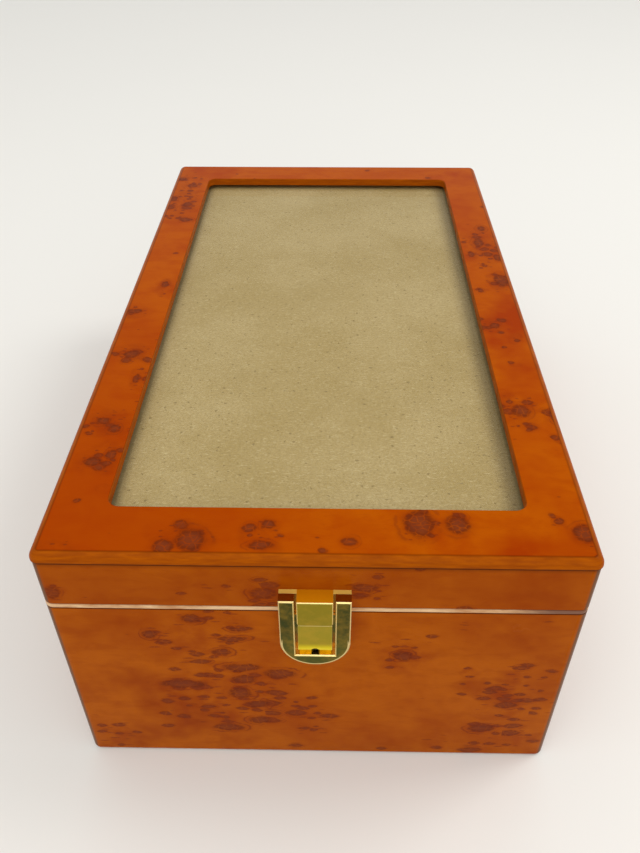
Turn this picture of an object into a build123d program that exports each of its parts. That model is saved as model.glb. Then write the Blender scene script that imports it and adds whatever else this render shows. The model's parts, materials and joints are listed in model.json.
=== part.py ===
from build123d import *

import os

# Watch box with two layers, a glazed lid on two stop hinges and a push-button catch.
# Millimetres. +Z is up, -Y is the catch end, +Y the hinge end. The origin is the middle
# of the underside. "Depth" is the distance that a catch piece stands out of the front face.

# ---------------------------------------------------------------- driving dimensions
BOX_WIDTH = 200.0
BOX_LENGTH = 352.0
BOX_HEIGHT = 128.8
BASE_HEIGHT = 102.1
PARTING_GAP = 0.2
WALL = 12.0
CORNER_RADIUS = 4.0

FELT = 0.8
FELT_INSET = 3.0
RIM_BAND = 1.8
RIM_ROUND = 0.6
JOINT_BEVEL = 0.25
FOOT_ROUND = 0.8
BOTTOM_PANEL = 5.0
BOTTOM_REBATE = 5.0
FLOOR_LINING = 2.0
LINING = 1.6
LIP_HEIGHT = 4.0
LIP_CLEARANCE = 0.4

# lid
TOP_BOARD = 4.1
TOP_OVERHANG = 0.3
TOP_EDGE_LAND = 0.5
SIDE_RAIL = 22.6
FRONT_RAIL = 24.6
BACK_RAIL = 23.5
WINDOW_RADIUS = 4.8
WINDOW_EASING = 0.5
GLASS = 2.0
GLASS_CLEARANCE = 0.5
SPACER = 0.6
SPACER_WIDTH = 5.0
BACKING_BOARD = 2.4
STRIP_WIDTH = 6.0
STRIP_HEIGHT = 5.0
LINING_PANEL = 2.6

# lower compartment and lift-out tray
LOWER_DEPTH = 42.2
REST_BOARD = 6.0
TRAY_HEIGHT = 48.0
TRAY_CLEARANCE = 0.6
TRAY_WALL = 4.0
TRAY_FLOOR = 3.0
DIVIDER = 3.0
DIVIDER_DROP = 4.0
DIVIDER_SLOT_CLEARANCE = 0.1
CROSS_DIVIDERS = 5
CUSHION_HEIGHT = 42.0
CUSHION_GAP = 0.8
CUSHION_ROUND = 9.0

# hinges
HINGE_SPACING = 120.0
HINGE_LENGTH = 36.0
OPENING_ANGLE = 95.0
STOP_MARGIN = 0.5
LEAF = 1.2
LEAF_REACH = 9.5
MORTISE_CLEARANCE = 0.1
KNUCKLE_RADIUS = 2.5
KNUCKLE_TO_BACK = 0.3
KNUCKLE_CLEARANCE = 0.25
LID_KNUCKLE = 15.7
KNUCKLE_END_GAP = 0.15
PIN_RADIUS = 1.2
PIN_RUNNING_CLEARANCE = 0.05
PIN_HEAD_RIM = 0.7
PIN_HEAD = 0.8
HEEL_REACH = 2.7
HEEL = 1.2
SCREW_HEAD_RADIUS = 2.1
SCREW_HEAD = 1.1
SCREW_RADIUS = 1.0
SCREW_LENGTH = 8.0
SCREW_SPACING = 22.0
SCREW_TO_LEAF_END = 4.3
SCREW_SLOT = 0.5

# catch
CATCH_DEPTH = 6.2
CATCH_PLATE = 1.9
CATCH_PLATE_TOP = 10.3
CATCH_CLEARANCE = 0.3
BOSS_SIDE_GAP = 0.9
BOSS_DROP = 2.8
BOSS_ROUND = 1.4
ARM_RISE = 10.9
HOUSING_DROP = 26.3
HOUSING_BEVEL = 0.45
ARM_WIDTH = 5.6
POCKET_FLOOR = 3.0
SILL_DROP = 20.4
BUTTON_WIDTH = 12.6
BUTTON_SIDE_GAP = 1.1
BUTTON_TOP_DROP = 3.1
BUTTON_BOTTOM_DROP = 16.5
BUTTON_FACE = 5.6
BUTTON_BACK = 0.3
BUTTON_TRAVEL = 1.2
BUTTON_CLEARANCE = 0.15
LIP_FACE = 6.4
LIP_RISE = 2.6
LIP_EDGE = 0.4
HOOK_WIDTH = 6.0
HOOK = 0.9
HOOK_DROP = 10.8
HOOK_NOSE = 0.7
HOOK_NOSE_HEIGHT = 2.5
HOOK_SLOT_SIDE = 0.6
BUTTON_FRONT_WALL = 1.0
STEM_RADIUS = 2.0
STEM_LENGTH = 5.8
STEM_DROP = 9.6
SPRING_WIRE = 0.5
SPRING_ROOM = 0.45
SPRING_TURNS = 5
SPRING_LENGTH = 4.8
SPRING_BORE_ROOM = 0.35
SPRING_BORE_SPARE = 0.4
PEG_RADIUS = 1.25
PEG_LENGTH = 5.0
PEG_SPACING = 20.0
HOUSING_PEG_DROP = 12.0
PLATE_PEG_RISE = 5.3
CATCH_SCREW_HEAD_RADIUS = 1.55
CATCH_SCREW_HEAD = 1.5
CATCH_SCREW_RADIUS = 0.8
CATCH_SCREW_LENGTH = 9.0
CATCH_SCREW_DROP = 18.2
BUTTON_NOTCH_RADIUS = 2.1
BUTTON_NOTCH_RAISE = 0.3

# ---------------------------------------------------------------- levels and places worked out from them
FRONT = -BOX_LENGTH / 2
BACK = BOX_LENGTH / 2
LID_BOTTOM = BASE_HEIGHT + PARTING_GAP
LID_TOP_UNDERSIDE = BOX_HEIGHT - TOP_BOARD
LID_WALL = WALL - LIP_CLEARANCE
TOP_EDGE_RADIUS = min(TOP_BOARD, CORNER_RADIUS + JOINT_BEVEL) - TOP_EDGE_LAND
WALL_TOP = BASE_HEIGHT - RIM_BAND

INNER_WIDTH = BOX_WIDTH - 2 * WALL
INNER_LENGTH = BOX_LENGTH - 2 * WALL
LID_INNER_WIDTH = BOX_WIDTH - 2 * LID_WALL
LID_INNER_LENGTH = BOX_LENGTH - 2 * LID_WALL
LINED_WIDTH = INNER_WIDTH - 2 * LINING
LINED_LENGTH = INNER_LENGTH - 2 * LINING

FLOOR_BOARD_TOP = FELT + BOTTOM_PANEL
COMPARTMENT_FLOOR = FLOOR_BOARD_TOP + FLOOR_LINING
TRAY_BOTTOM = COMPARTMENT_FLOOR + LOWER_DEPTH
TRAY_FLOOR_TOP = TRAY_BOTTOM + TRAY_FLOOR
TRAY_TOP = TRAY_BOTTOM + TRAY_HEIGHT
DIVIDER_TOP = TRAY_TOP - DIVIDER_DROP
TRAY_WIDTH = LINED_WIDTH - 2 * TRAY_CLEARANCE
TRAY_LENGTH = LINED_LENGTH - 2 * TRAY_CLEARANCE
TRAY_INNER_WIDTH = TRAY_WIDTH - 2 * TRAY_WALL
TRAY_INNER_LENGTH = TRAY_LENGTH - 2 * TRAY_WALL
CELL_WIDTH = (TRAY_INNER_WIDTH - DIVIDER) / 2
CELL_LENGTH = (TRAY_INNER_LENGTH - CROSS_DIVIDERS * DIVIDER) / (CROSS_DIVIDERS + 1)
CELL_PITCH = CELL_LENGTH + DIVIDER

AXIS_Y = BACK + KNUCKLE_RADIUS + KNUCKLE_TO_BACK
AXIS_Z = BASE_HEIGHT + PARTING_GAP / 2
HINGE_CENTRES = (-HINGE_SPACING / 2, HINGE_SPACING / 2)
HEEL_ANGLE = (OPENING_ANGLE + STOP_MARGIN) / 2
HEEL_END = KNUCKLE_RADIUS + HEEL_REACH
PIN_HEAD_RADIUS = PIN_RADIUS + PIN_HEAD_RIM
SCREW_SETBACK = LEAF_REACH - SCREW_TO_LEAF_END

POCKET_WIDTH = BUTTON_WIDTH + 2 * BUTTON_SIDE_GAP
BOSS_WIDTH = POCKET_WIDTH - 2 * BOSS_SIDE_GAP
CATCH_WIDTH = POCKET_WIDTH + 2 * ARM_WIDTH
BUTTON_TOP = BASE_HEIGHT - BUTTON_TOP_DROP
BUTTON_BOTTOM = BASE_HEIGHT - BUTTON_BOTTOM_DROP
HOOK_BOTTOM = LID_BOTTOM - HOOK_DROP - BUTTON_CLEARANCE
HOOK_FACE = BUTTON_FACE - BUTTON_FRONT_WALL - BUTTON_TRAVEL - BUTTON_CLEARANCE
HOOK_REAR = HOOK_FACE - HOOK
NOSE_REAR = HOOK_REAR - HOOK_NOSE
STEM_Z = BASE_HEIGHT - STEM_DROP
STEM_END = BUTTON_BACK - STEM_LENGTH
SPRING_RADIUS = STEM_RADIUS + SPRING_ROOM + SPRING_WIRE / 2
SPRING_BORE_RADIUS = SPRING_RADIUS + SPRING_WIRE / 2 + SPRING_BORE_ROOM


# ---------------------------------------------------------------- small helpers
def block(x, y, z):
    """A box between the low and high values of each pair."""
    size = Box(x[1] - x[0], y[1] - y[0], z[1] - z[0])
    return Pos((x[0] + x[1]) / 2, (y[0] + y[1]) / 2, (z[0] + z[1]) / 2) * size


def centred(width, length, z):
    """A box centred on the Z axis, between two heights."""
    return block((-width / 2, width / 2), (-length / 2, length / 2), z)


def at_front(x, depth, z):
    """A box on the front face, with its depth counted outwards from that face."""
    return block(x, (FRONT - depth[1], FRONT - depth[0]), z)


def rounded_slab(width, length, z, radius):
    """A slab with round vertical corners, between two heights."""
    return Pos(0, 0, z[0]) * extrude(RectangleRounded(width, length, radius), z[1] - z[0])


def edges_at(part, z):
    """The edges that lie in the level plane at one height."""
    return part.edges().filter_by_position(Axis.Z, z, z)


def front_rod(x, z, radius, depth):
    """A rod square to the front face, between two depths."""
    rod = Cylinder(radius, depth[1] - depth[0], rotation=(90, 0, 0))
    return Pos(x, FRONT - (depth[0] + depth[1]) / 2, z) * rod


def side_rod(x, radius):
    """A rod along the hinge axis, between two X values."""
    rod = Cylinder(radius, x[1] - x[0], rotation=(0, 90, 0))
    return Pos((x[0] + x[1]) / 2, AXIS_Y, AXIS_Z) * rod


def mitre_region(side, z):
    """The prism that holds one board of a frame with mitred corners."""
    spare = CORNER_RADIUS
    near, far, out = BOX_LENGTH / 2, BOX_WIDTH / 2, spare
    apex = near - far
    outlines = {
        "front": [(-far - out, -near - out), (far + out, -near - out), (0, -apex)],
        "back": [(-far - out, near + out), (far + out, near + out), (0, apex)],
        "left": [(-far - out, -near - out), (0, -apex), (0, apex), (-far - out, near + out)],
        "right": [(far + out, -near - out), (0, -apex), (0, apex), (far + out, near + out)],
    }
    outline = Polygon(*outlines[side], align=None)
    return Pos(0, 0, z[0]) * extrude(outline, z[1] - z[0], dir=(0, 0, 1))


SIDES = ("front", "back", "left", "right")


# ---------------------------------------------------------------- screws and pegs
def screw_blank(length):
    """A countersunk screw as its hole needs it: head up, its top at the origin."""
    head = Pos(0, 0, -SCREW_HEAD / 2) * Cone(SCREW_RADIUS, SCREW_HEAD_RADIUS, SCREW_HEAD)
    shank = Pos(0, 0, -length / 2) * Cylinder(SCREW_RADIUS, length)
    return head + shank


def screw(length):
    """The screw itself, with a cross cut in its head."""
    arm = 1.3 * SCREW_HEAD_RADIUS
    cross = Box(arm, SCREW_SLOT, SCREW_SLOT * 2) + Box(SCREW_SLOT, arm, SCREW_SLOT * 2)
    return screw_blank(length) - cross


def hinge_screw_places():
    """X and Y of every hinge screw, the same in the base and in the lid."""
    offsets = (-SCREW_SPACING / 2, SCREW_SPACING / 2)
    return [(centre + offset, BACK - SCREW_SETBACK) for centre in HINGE_CENTRES for offset in offsets]


def base_screws(make):
    """One screw or screw hole in every base leaf hole, pointing down."""
    return [Pos(x, y, BASE_HEIGHT) * make(SCREW_LENGTH) for x, y in hinge_screw_places()]


def lid_screws(make):
    """One screw or screw hole in every lid leaf hole, pointing up."""
    return [
        Pos(x, y, LID_BOTTOM) * Rot(180, 0, 0) * make(SCREW_LENGTH)
        for x, y in hinge_screw_places()
    ]


def pegs(z, depth):
    """The two pegs that hold a catch casting to the wood."""
    places = (-PEG_SPACING / 2, PEG_SPACING / 2)
    return [front_rod(x, z, PEG_RADIUS, depth) for x in places]


def hinge_mortises(z):
    """The shallow seats of the hinge leaves, open at the back face."""
    half = HINGE_LENGTH / 2 + MORTISE_CLEARANCE
    inner = BACK - LEAF_REACH - MORTISE_CLEARANCE
    return [
        block((centre - half, centre + half), (inner, BACK + CORNER_RADIUS), z)
        for centre in HINGE_CENTRES
    ]


# ---------------------------------------------------------------- carcass
def base_walls():
    """Four mitred boards, rebated for the bottom and bored for catch and screws."""
    z = (FELT, WALL_TOP)
    ring = rounded_slab(BOX_WIDTH, BOX_LENGTH, z, CORNER_RADIUS)
    ring = fillet(edges_at(ring, FELT), FOOT_ROUND)
    ring = chamfer(edges_at(ring, WALL_TOP), JOINT_BEVEL)
    ring -= centred(INNER_WIDTH, INNER_LENGTH, z)
    rebate = 2 * BOTTOM_REBATE
    ring -= centred(INNER_WIDTH + rebate, INNER_LENGTH + rebate, (FELT, FLOOR_BOARD_TOP))
    half = BUTTON_WIDTH / 2 + CATCH_CLEARANCE
    recess = BUTTON_TRAVEL + CATCH_CLEARANCE - BUTTON_BACK
    ring -= at_front(
        (-half, half),
        (-recess, 0),
        (BUTTON_BOTTOM - BUTTON_CLEARANCE, BUTTON_TOP + CATCH_CLEARANCE),
    )
    bore_end = STEM_END - BUTTON_TRAVEL - SPRING_BORE_SPARE
    ring -= front_rod(0, STEM_Z, SPRING_BORE_RADIUS, (bore_end, 0))
    ring -= pegs(BASE_HEIGHT - HOUSING_PEG_DROP, (-PEG_LENGTH, 0))
    ring -= front_rod(0, BASE_HEIGHT - CATCH_SCREW_DROP, CATCH_SCREW_RADIUS, catch_screw_reach())
    ring -= base_screws(screw_blank)
    return {f"base_{side}_wall": ring & mitre_region(side, z) for side in SIDES}


def base_rim_band():
    """Pale edging on top of the walls, eased along its outer edges."""
    z = (WALL_TOP, BASE_HEIGHT)
    band = rounded_slab(BOX_WIDTH, BOX_LENGTH, z, CORNER_RADIUS)
    band = fillet(edges_at(band, BASE_HEIGHT), RIM_ROUND)
    band = chamfer(edges_at(band, WALL_TOP), JOINT_BEVEL)
    band -= centred(INNER_WIDTH, INNER_LENGTH, z)
    band -= hinge_mortises((BASE_HEIGHT - LEAF, BASE_HEIGHT))
    band -= base_screws(screw_blank)
    return band


def base_bottom_panel():
    """The bottom board, let into the rebate of the walls."""
    rebate = 2 * BOTTOM_REBATE
    return centred(INNER_WIDTH + rebate, INNER_LENGTH + rebate, (FELT, FLOOR_BOARD_TOP))


def base_felt():
    """Baize under the whole box, a little inside its outline."""
    width = BOX_WIDTH - 2 * FELT_INSET
    length = BOX_LENGTH - 2 * FELT_INSET
    return rounded_slab(width, length, (0, FELT), CORNER_RADIUS)


def base_linings():
    """Cloth-covered boards inside the walls, which stand proud of the rim as a lip."""
    z = (COMPARTMENT_FLOOR, BASE_HEIGHT + LIP_HEIGHT)
    half_width, half_length = INNER_WIDTH / 2, INNER_LENGTH / 2
    across = (-half_width, half_width)
    along = (-half_length + LINING, half_length - LINING)
    return {
        "base_lining_front": block(across, (-half_length, -half_length + LINING), z),
        "base_lining_back": block(across, (half_length - LINING, half_length), z),
        "base_lining_left": block((-half_width, -half_width + LINING), along, z),
        "base_lining_right": block((half_width - LINING, half_width), along, z),
    }


def lower_boards():
    """Boards that carry the tray and divide the lower compartment."""
    z = (COMPARTMENT_FLOOR, TRAY_BOTTOM)
    across = (-LINED_WIDTH / 2, LINED_WIDTH / 2)
    end = LINED_LENGTH / 2
    return {
        "tray_rest_front": block(across, (-end, -end + REST_BOARD), z),
        "tray_rest_back": block(across, (end - REST_BOARD, end), z),
        "lower_divider": block(across, (-REST_BOARD / 2, REST_BOARD / 2), z),
    }


# ---------------------------------------------------------------- lift-out tray
def tray_case():
    """The floor and the four walls of the lift-out tray."""
    z = (TRAY_FLOOR_TOP, TRAY_TOP)
    half_width, half_length = TRAY_WIDTH / 2, TRAY_LENGTH / 2
    across = (-half_width, half_width)
    along = (-half_length + TRAY_WALL, half_length - TRAY_WALL)
    return {
        "tray_floor": centred(TRAY_WIDTH, TRAY_LENGTH, (TRAY_BOTTOM, TRAY_FLOOR_TOP)),
        "tray_front_wall": block(across, (-half_length, -half_length + TRAY_WALL), z),
        "tray_back_wall": block(across, (half_length - TRAY_WALL, half_length), z),
        "tray_left_wall": block((-half_width, -half_width + TRAY_WALL), along, z),
        "tray_right_wall": block((half_width - TRAY_WALL, half_width), along, z),
    }


def cross_divider_places():
    """Y of each cross divider, from front to back."""
    first = -(CROSS_DIVIDERS - 1) / 2 * CELL_PITCH
    return [first + index * CELL_PITCH for index in range(CROSS_DIVIDERS)]


def tray_long_divider():
    """The divider along the tray, slotted from above for the cross dividers."""
    z = (TRAY_FLOOR_TOP, DIVIDER_TOP)
    half = DIVIDER / 2
    slot = half + DIVIDER_SLOT_CLEARANCE
    middle = (z[0] + z[1]) / 2
    board = block((-half, half), (-TRAY_INNER_LENGTH / 2, TRAY_INNER_LENGTH / 2), z)
    for y in cross_divider_places():
        board -= block((-half, half), (y - slot, y + slot), (middle, z[1]))
    return board


def tray_cross_dividers():
    """The dividers across the tray, slotted from below where the long one passes."""
    z = (TRAY_FLOOR_TOP, DIVIDER_TOP)
    half = DIVIDER / 2
    slot = half + DIVIDER_SLOT_CLEARANCE
    middle = (z[0] + z[1]) / 2
    boards = []
    for y in cross_divider_places():
        board = block((-TRAY_INNER_WIDTH / 2, TRAY_INNER_WIDTH / 2), (y - half, y + half), z)
        boards.append(board - block((-slot, slot), (y - half, y + half), (z[0], middle)))
    return Compound(children=boards)


def watch_cushions():
    """One cushion in each cell of the tray, numbered from the front left."""
    width = CELL_WIDTH - 2 * CUSHION_GAP
    length = CELL_LENGTH - 2 * CUSHION_GAP
    pad = Box(width, length, CUSHION_HEIGHT, align=(Align.CENTER, Align.CENTER, Align.MIN))
    pad = fillet(pad.edges(), CUSHION_ROUND)
    columns = (-(CELL_WIDTH + DIVIDER) / 2, (CELL_WIDTH + DIVIDER) / 2)
    first_row = -CROSS_DIVIDERS / 2 * CELL_PITCH
    cushions = {}
    for row in range(CROSS_DIVIDERS + 1):
        for x in columns:
            name = f"watch_cushion_{len(cushions) + 1}"
            cushions[name] = Pos(x, first_row + row * CELL_PITCH, TRAY_FLOOR_TOP) * pad
    return cushions


# ---------------------------------------------------------------- lid
def lid_top_frame():
    """The top board with its window and its quarter-round outer edge."""
    z = (LID_TOP_UNDERSIDE, BOX_HEIGHT)
    width = BOX_WIDTH + 2 * TOP_OVERHANG
    length = BOX_LENGTH + 2 * TOP_OVERHANG
    board = rounded_slab(width, length, z, CORNER_RADIUS)
    board = fillet(edges_at(board, BOX_HEIGHT), TOP_EDGE_RADIUS)
    window = Pos(0, (FRONT_RAIL - BACK_RAIL) / 2, 0) * rounded_slab(
        BOX_WIDTH - 2 * SIDE_RAIL, BOX_LENGTH - FRONT_RAIL - BACK_RAIL, z, WINDOW_RADIUS
    )
    board -= window
    level = edges_at(board, BOX_HEIGHT)
    limit = BOX_WIDTH / 2 - SIDE_RAIL + JOINT_BEVEL
    rim = [edge for edge in level if abs(edge.center().X) < limit and inside_window(edge)]
    return fillet(rim, WINDOW_EASING)


def inside_window(edge):
    """Whether an edge of the top board belongs to its window."""
    y = edge.center().Y
    return FRONT + FRONT_RAIL - JOINT_BEVEL < y < BACK - BACK_RAIL + JOINT_BEVEL


def lid_walls():
    """Four mitred boards under the top board."""
    z = (LID_BOTTOM, LID_TOP_UNDERSIDE)
    ring = rounded_slab(BOX_WIDTH, BOX_LENGTH, z, CORNER_RADIUS)
    ring = fillet(edges_at(ring, LID_BOTTOM), RIM_ROUND)
    ring = chamfer(edges_at(ring, LID_TOP_UNDERSIDE), JOINT_BEVEL)
    ring -= centred(LID_INNER_WIDTH, LID_INNER_LENGTH, z)
    ring -= hinge_mortises((LID_BOTTOM, LID_BOTTOM + LEAF))
    ring -= lid_screws(screw_blank)
    ring -= pegs(LID_BOTTOM + PLATE_PEG_RISE, (-PEG_LENGTH, 0))
    return {f"lid_{side}_wall": ring & mitre_region(side, z) for side in SIDES}


def lid_filling():
    """The glass, its spacer, the backing board, the retaining strips and the lining."""
    glass_width = LID_INNER_WIDTH - 2 * GLASS_CLEARANCE
    glass_length = LID_INNER_LENGTH - 2 * GLASS_CLEARANCE
    glass_bottom = LID_TOP_UNDERSIDE - GLASS
    spacer_bottom = glass_bottom - SPACER
    board_bottom = spacer_bottom - BACKING_BOARD
    spacer = centred(glass_width, glass_length, (spacer_bottom, glass_bottom))
    spacer -= centred(
        glass_width - 2 * SPACER_WIDTH, glass_length - 2 * SPACER_WIDTH, (spacer_bottom, glass_bottom)
    )
    pieces = {
        "lid_glass": centred(glass_width, glass_length, (glass_bottom, LID_TOP_UNDERSIDE)),
        "lid_spacer_frame": spacer,
        "lid_backing_board": centred(glass_width, glass_length, (board_bottom, spacer_bottom)),
        "lid_lining_panel": centred(
            LID_INNER_WIDTH - 2 * STRIP_WIDTH,
            LID_INNER_LENGTH - 2 * STRIP_WIDTH,
            (board_bottom - LINING_PANEL, board_bottom),
        ),
    }
    z = (board_bottom - STRIP_HEIGHT, board_bottom)
    half_width, half_length = LID_INNER_WIDTH / 2, LID_INNER_LENGTH / 2
    across = (-half_width, half_width)
    along = (-half_length + STRIP_WIDTH, half_length - STRIP_WIDTH)
    strips = {
        "front": block(across, (-half_length, -half_length + STRIP_WIDTH), z),
        "back": block(across, (half_length - STRIP_WIDTH, half_length), z),
        "left": block((-half_width, -half_width + STRIP_WIDTH), along, z),
        "right": block((half_width - STRIP_WIDTH, half_width), along, z),
    }
    for side, strip in strips.items():
        pieces[f"lid_retaining_strip_{side}"] = strip
    return pieces


# ---------------------------------------------------------------- hinges
def heel(x, angle, side):
    """A stop tab beside the barrel; its working face is a plane through the hinge axis."""
    inner = KNUCKLE_RADIUS - KNUCKLE_CLEARANCE
    thickness = (0, HEEL) if side > 0 else (-HEEL, 0)
    tab = block(x, (inner, HEEL_END), thickness)
    return Pos(0, AXIS_Y, AXIS_Z) * Rot(side * angle, 0, 0) * tab


def knuckle_spans(centre):
    """X spans of the two base knuckles and of the lid knuckle between them."""
    outer = HINGE_LENGTH / 2
    inner = LID_KNUCKLE / 2
    gap = KNUCKLE_END_GAP
    base = [(centre - outer, centre - inner - gap), (centre + inner + gap, centre + outer)]
    return base, (centre - inner, centre + inner)


def hinge_leaf(centre, z, spans, other_spans):
    """A plate that runs to the hinge axis, with barrels on its own spans."""
    half = HINGE_LENGTH / 2
    leaf = block((centre - half, centre + half), (BACK - LEAF_REACH, AXIS_Y), z)
    clear = KNUCKLE_RADIUS + KNUCKLE_CLEARANCE
    gap = KNUCKLE_END_GAP
    for low, high in other_spans:
        leaf -= block((low - gap, high + gap), (AXIS_Y - clear, AXIS_Y + clear), z)
    for span in spans:
        leaf += side_rod(span, KNUCKLE_RADIUS)
    return leaf


def hinge_base_leaf(centre):
    """The base leaf with its two knuckles and the fixed half of the stop."""
    base_spans, lid_span = knuckle_spans(centre)
    half = HINGE_LENGTH / 2
    leaf = hinge_leaf(centre, (BASE_HEIGHT - LEAF, BASE_HEIGHT), base_spans, [lid_span])
    stop = heel((centre - half, centre + half), HEEL_ANGLE, -1)
    gap = KNUCKLE_END_GAP
    stop -= side_rod((lid_span[0] - gap, lid_span[1] + gap), KNUCKLE_RADIUS + KNUCKLE_CLEARANCE)
    leaf += stop
    leaf -= side_rod((centre - half, centre + half), PIN_RADIUS)
    return leaf - base_screws(screw_blank)


def hinge_lid_leaf(centre):
    """The lid leaf with its middle knuckle and the moving half of the stop."""
    base_spans, lid_span = knuckle_spans(centre)
    leaf = hinge_leaf(centre, (LID_BOTTOM, LID_BOTTOM + LEAF), [lid_span], base_spans)
    leaf += heel(lid_span, HEEL_ANGLE, 1)
    leaf -= side_rod(lid_span, PIN_RADIUS + PIN_RUNNING_CLEARANCE)
    return leaf - lid_screws(screw_blank)


def hinge_pins():
    """Both hinge pins, with a small head at each end."""
    half = HINGE_LENGTH / 2
    pins = []
    for centre in HINGE_CENTRES:
        pin = side_rod((centre - half, centre + half), PIN_RADIUS)
        for low in (centre - half - PIN_HEAD, centre + half):
            pin += side_rod((low, low + PIN_HEAD), PIN_HEAD_RADIUS)
        ends = pin.faces().sort_by(Axis.X)
        rims = [ends[0].edges()[0], ends[-1].edges()[0]]
        pins.append(fillet(rims, PIN_HEAD / 2))
    return Compound(children=pins)


# ---------------------------------------------------------------- catch
def catch_screw_reach():
    """The depths between which the shank of the catch screw lies."""
    return (POCKET_FLOOR - CATCH_SCREW_LENGTH, POCKET_FLOOR)


def catch_housing():
    """The U-shaped casting on the base, with a pocket and a window for the button."""
    half = CATCH_WIDTH / 2
    belly_top = BASE_HEIGHT - HOUSING_DROP + half
    top = BASE_HEIGHT + ARM_RISE
    outline = Polyline((half, belly_top), (half, top), (-half, top), (-half, belly_top))
    outline += ThreePointArc((-half, belly_top), (0, BASE_HEIGHT - HOUSING_DROP), (half, belly_top))
    face = Plane((0, FRONT, 0), x_dir=(1, 0, 0), z_dir=(0, -1, 0)) * make_face(outline)
    casting = extrude(face, CATCH_DEPTH, dir=(0, -1, 0))
    pocket = POCKET_WIDTH / 2
    sill = BASE_HEIGHT - SILL_DROP
    casting -= at_front((-pocket, pocket), (0, CATCH_DEPTH), (sill, top))
    face_y = FRONT - CATCH_DEPTH
    casting = chamfer(casting.edges().filter_by_position(Axis.Y, face_y, face_y), HOUSING_BEVEL)
    behind_arms = CATCH_PLATE + CATCH_CLEARANCE
    casting -= at_front((-half, half), (0, behind_arms), (BASE_HEIGHT, top))
    floor = at_front((-pocket, pocket), (0, POCKET_FLOOR), (sill, BASE_HEIGHT))
    window = BUTTON_WIDTH / 2 + BUTTON_CLEARANCE
    casting += floor - at_front(
        (-window, window), (0, POCKET_FLOOR), (BUTTON_BOTTOM - BUTTON_CLEARANCE, BASE_HEIGHT)
    )
    casting += pegs(BASE_HEIGHT - HOUSING_PEG_DROP, (-PEG_LENGTH, 0))
    screw_z = BASE_HEIGHT - CATCH_SCREW_DROP
    return casting - front_rod(0, screw_z, CATCH_SCREW_RADIUS, (0, POCKET_FLOOR))


def catch_housing_screw():
    """The round-headed screw at the foot of the pocket."""
    z = BASE_HEIGHT - CATCH_SCREW_DROP
    head_front = POCKET_FLOOR + CATCH_SCREW_HEAD
    head = front_rod(0, z, CATCH_SCREW_HEAD_RADIUS, (POCKET_FLOOR, head_front))
    rim = head.edges().filter_by_position(Axis.Y, FRONT - head_front, FRONT - head_front)
    head = fillet(rim, CATCH_SCREW_HEAD / 2)
    slot = CATCH_SCREW_HEAD_RADIUS
    head -= at_front(
        (-slot, slot), (head_front - SCREW_SLOT, head_front), (z - SCREW_SLOT / 2, z + SCREW_SLOT / 2)
    )
    return head + front_rod(0, z, CATCH_SCREW_RADIUS, catch_screw_reach())


def catch_lid_plate():
    """The T-shaped plate on the lid, its boss, and the hook that drops behind the button."""
    half = CATCH_WIDTH / 2
    boss = BOSS_WIDTH / 2
    top = LID_BOTTOM + CATCH_PLATE_TOP
    plate = at_front((-half, half), (0, CATCH_PLATE), (LID_BOTTOM, top))
    plate += at_front((-boss, boss), (0, CATCH_DEPTH), (LID_BOTTOM, top))
    toe = at_front(
        (-boss, boss),
        (POCKET_FLOOR + CATCH_CLEARANCE, CATCH_DEPTH),
        (BASE_HEIGHT - BOSS_DROP, LID_BOTTOM),
    )
    toe_corners = [edge for edge in edges_at(toe, BASE_HEIGHT - BOSS_DROP) if abs(edge.center().X) > 1]
    plate += fillet(toe_corners, BOSS_ROUND)
    rim = plate.edges().filter_by_position(Axis.Y, FRONT - CATCH_DEPTH, FRONT - CATCH_DEPTH)
    plate = chamfer(rim, CATCH_CLEARANCE)
    side = HOOK_WIDTH / 2
    hook = at_front((-side, side), (HOOK_REAR, HOOK_FACE), (HOOK_BOTTOM, LID_BOTTOM))
    nose = at_front((-side, side), (NOSE_REAR, HOOK_REAR), (HOOK_BOTTOM, HOOK_BOTTOM + HOOK_NOSE_HEIGHT))
    lead_in = [
        edge
        for edge in edges_at(nose, HOOK_BOTTOM)
        if edge.center().Y > FRONT - NOSE_REAR - JOINT_BEVEL
    ]
    nose = chamfer(lead_in, HOOK_NOSE * 0.8)
    plate += hook + nose
    return plate + pegs(LID_BOTTOM + PLATE_PEG_RISE, (-PEG_LENGTH, 0))


def catch_button():
    """The push button: a block with a finger lip, a slot for the hook and a stem."""
    half = BUTTON_WIDTH / 2
    body = at_front((-half, half), (BUTTON_BACK, BUTTON_FACE), (BUTTON_BOTTOM, BUTTON_TOP))
    profile = Polyline(
        (FRONT - BUTTON_FACE, BUTTON_BOTTOM + LIP_RISE),
        (FRONT - LIP_FACE, BUTTON_BOTTOM + LIP_EDGE),
        (FRONT - LIP_FACE, BUTTON_BOTTOM),
        (FRONT - BUTTON_FACE, BUTTON_BOTTOM),
        close=True,
    )
    lip = extrude(Plane((-half, 0, 0), x_dir=(0, 1, 0), z_dir=(1, 0, 0)) * make_face(profile), BUTTON_WIDTH)
    body += lip
    side = HOOK_WIDTH / 2 + HOOK_SLOT_SIDE
    slot_front = BUTTON_FACE - BUTTON_FRONT_WALL
    slot_bottom = HOOK_BOTTOM - 2 * CATCH_CLEARANCE
    ledge = NOSE_REAR - BUTTON_CLEARANCE
    under_ledge = HOOK_BOTTOM + HOOK_NOSE_HEIGHT + CATCH_CLEARANCE
    body -= at_front((-side, side), (ledge, slot_front), (slot_bottom, BUTTON_TOP))
    body -= at_front((-side, side), (ledge - HOOK_NOSE / 2, ledge), (slot_bottom, under_ledge))
    notch_z = BASE_HEIGHT - CATCH_SCREW_DROP + BUTTON_NOTCH_RAISE
    body -= front_rod(0, notch_z, BUTTON_NOTCH_RADIUS, (BUTTON_BACK, LIP_FACE))
    return body + front_rod(0, STEM_Z, STEM_RADIUS, (STEM_END, BUTTON_BACK))


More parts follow.
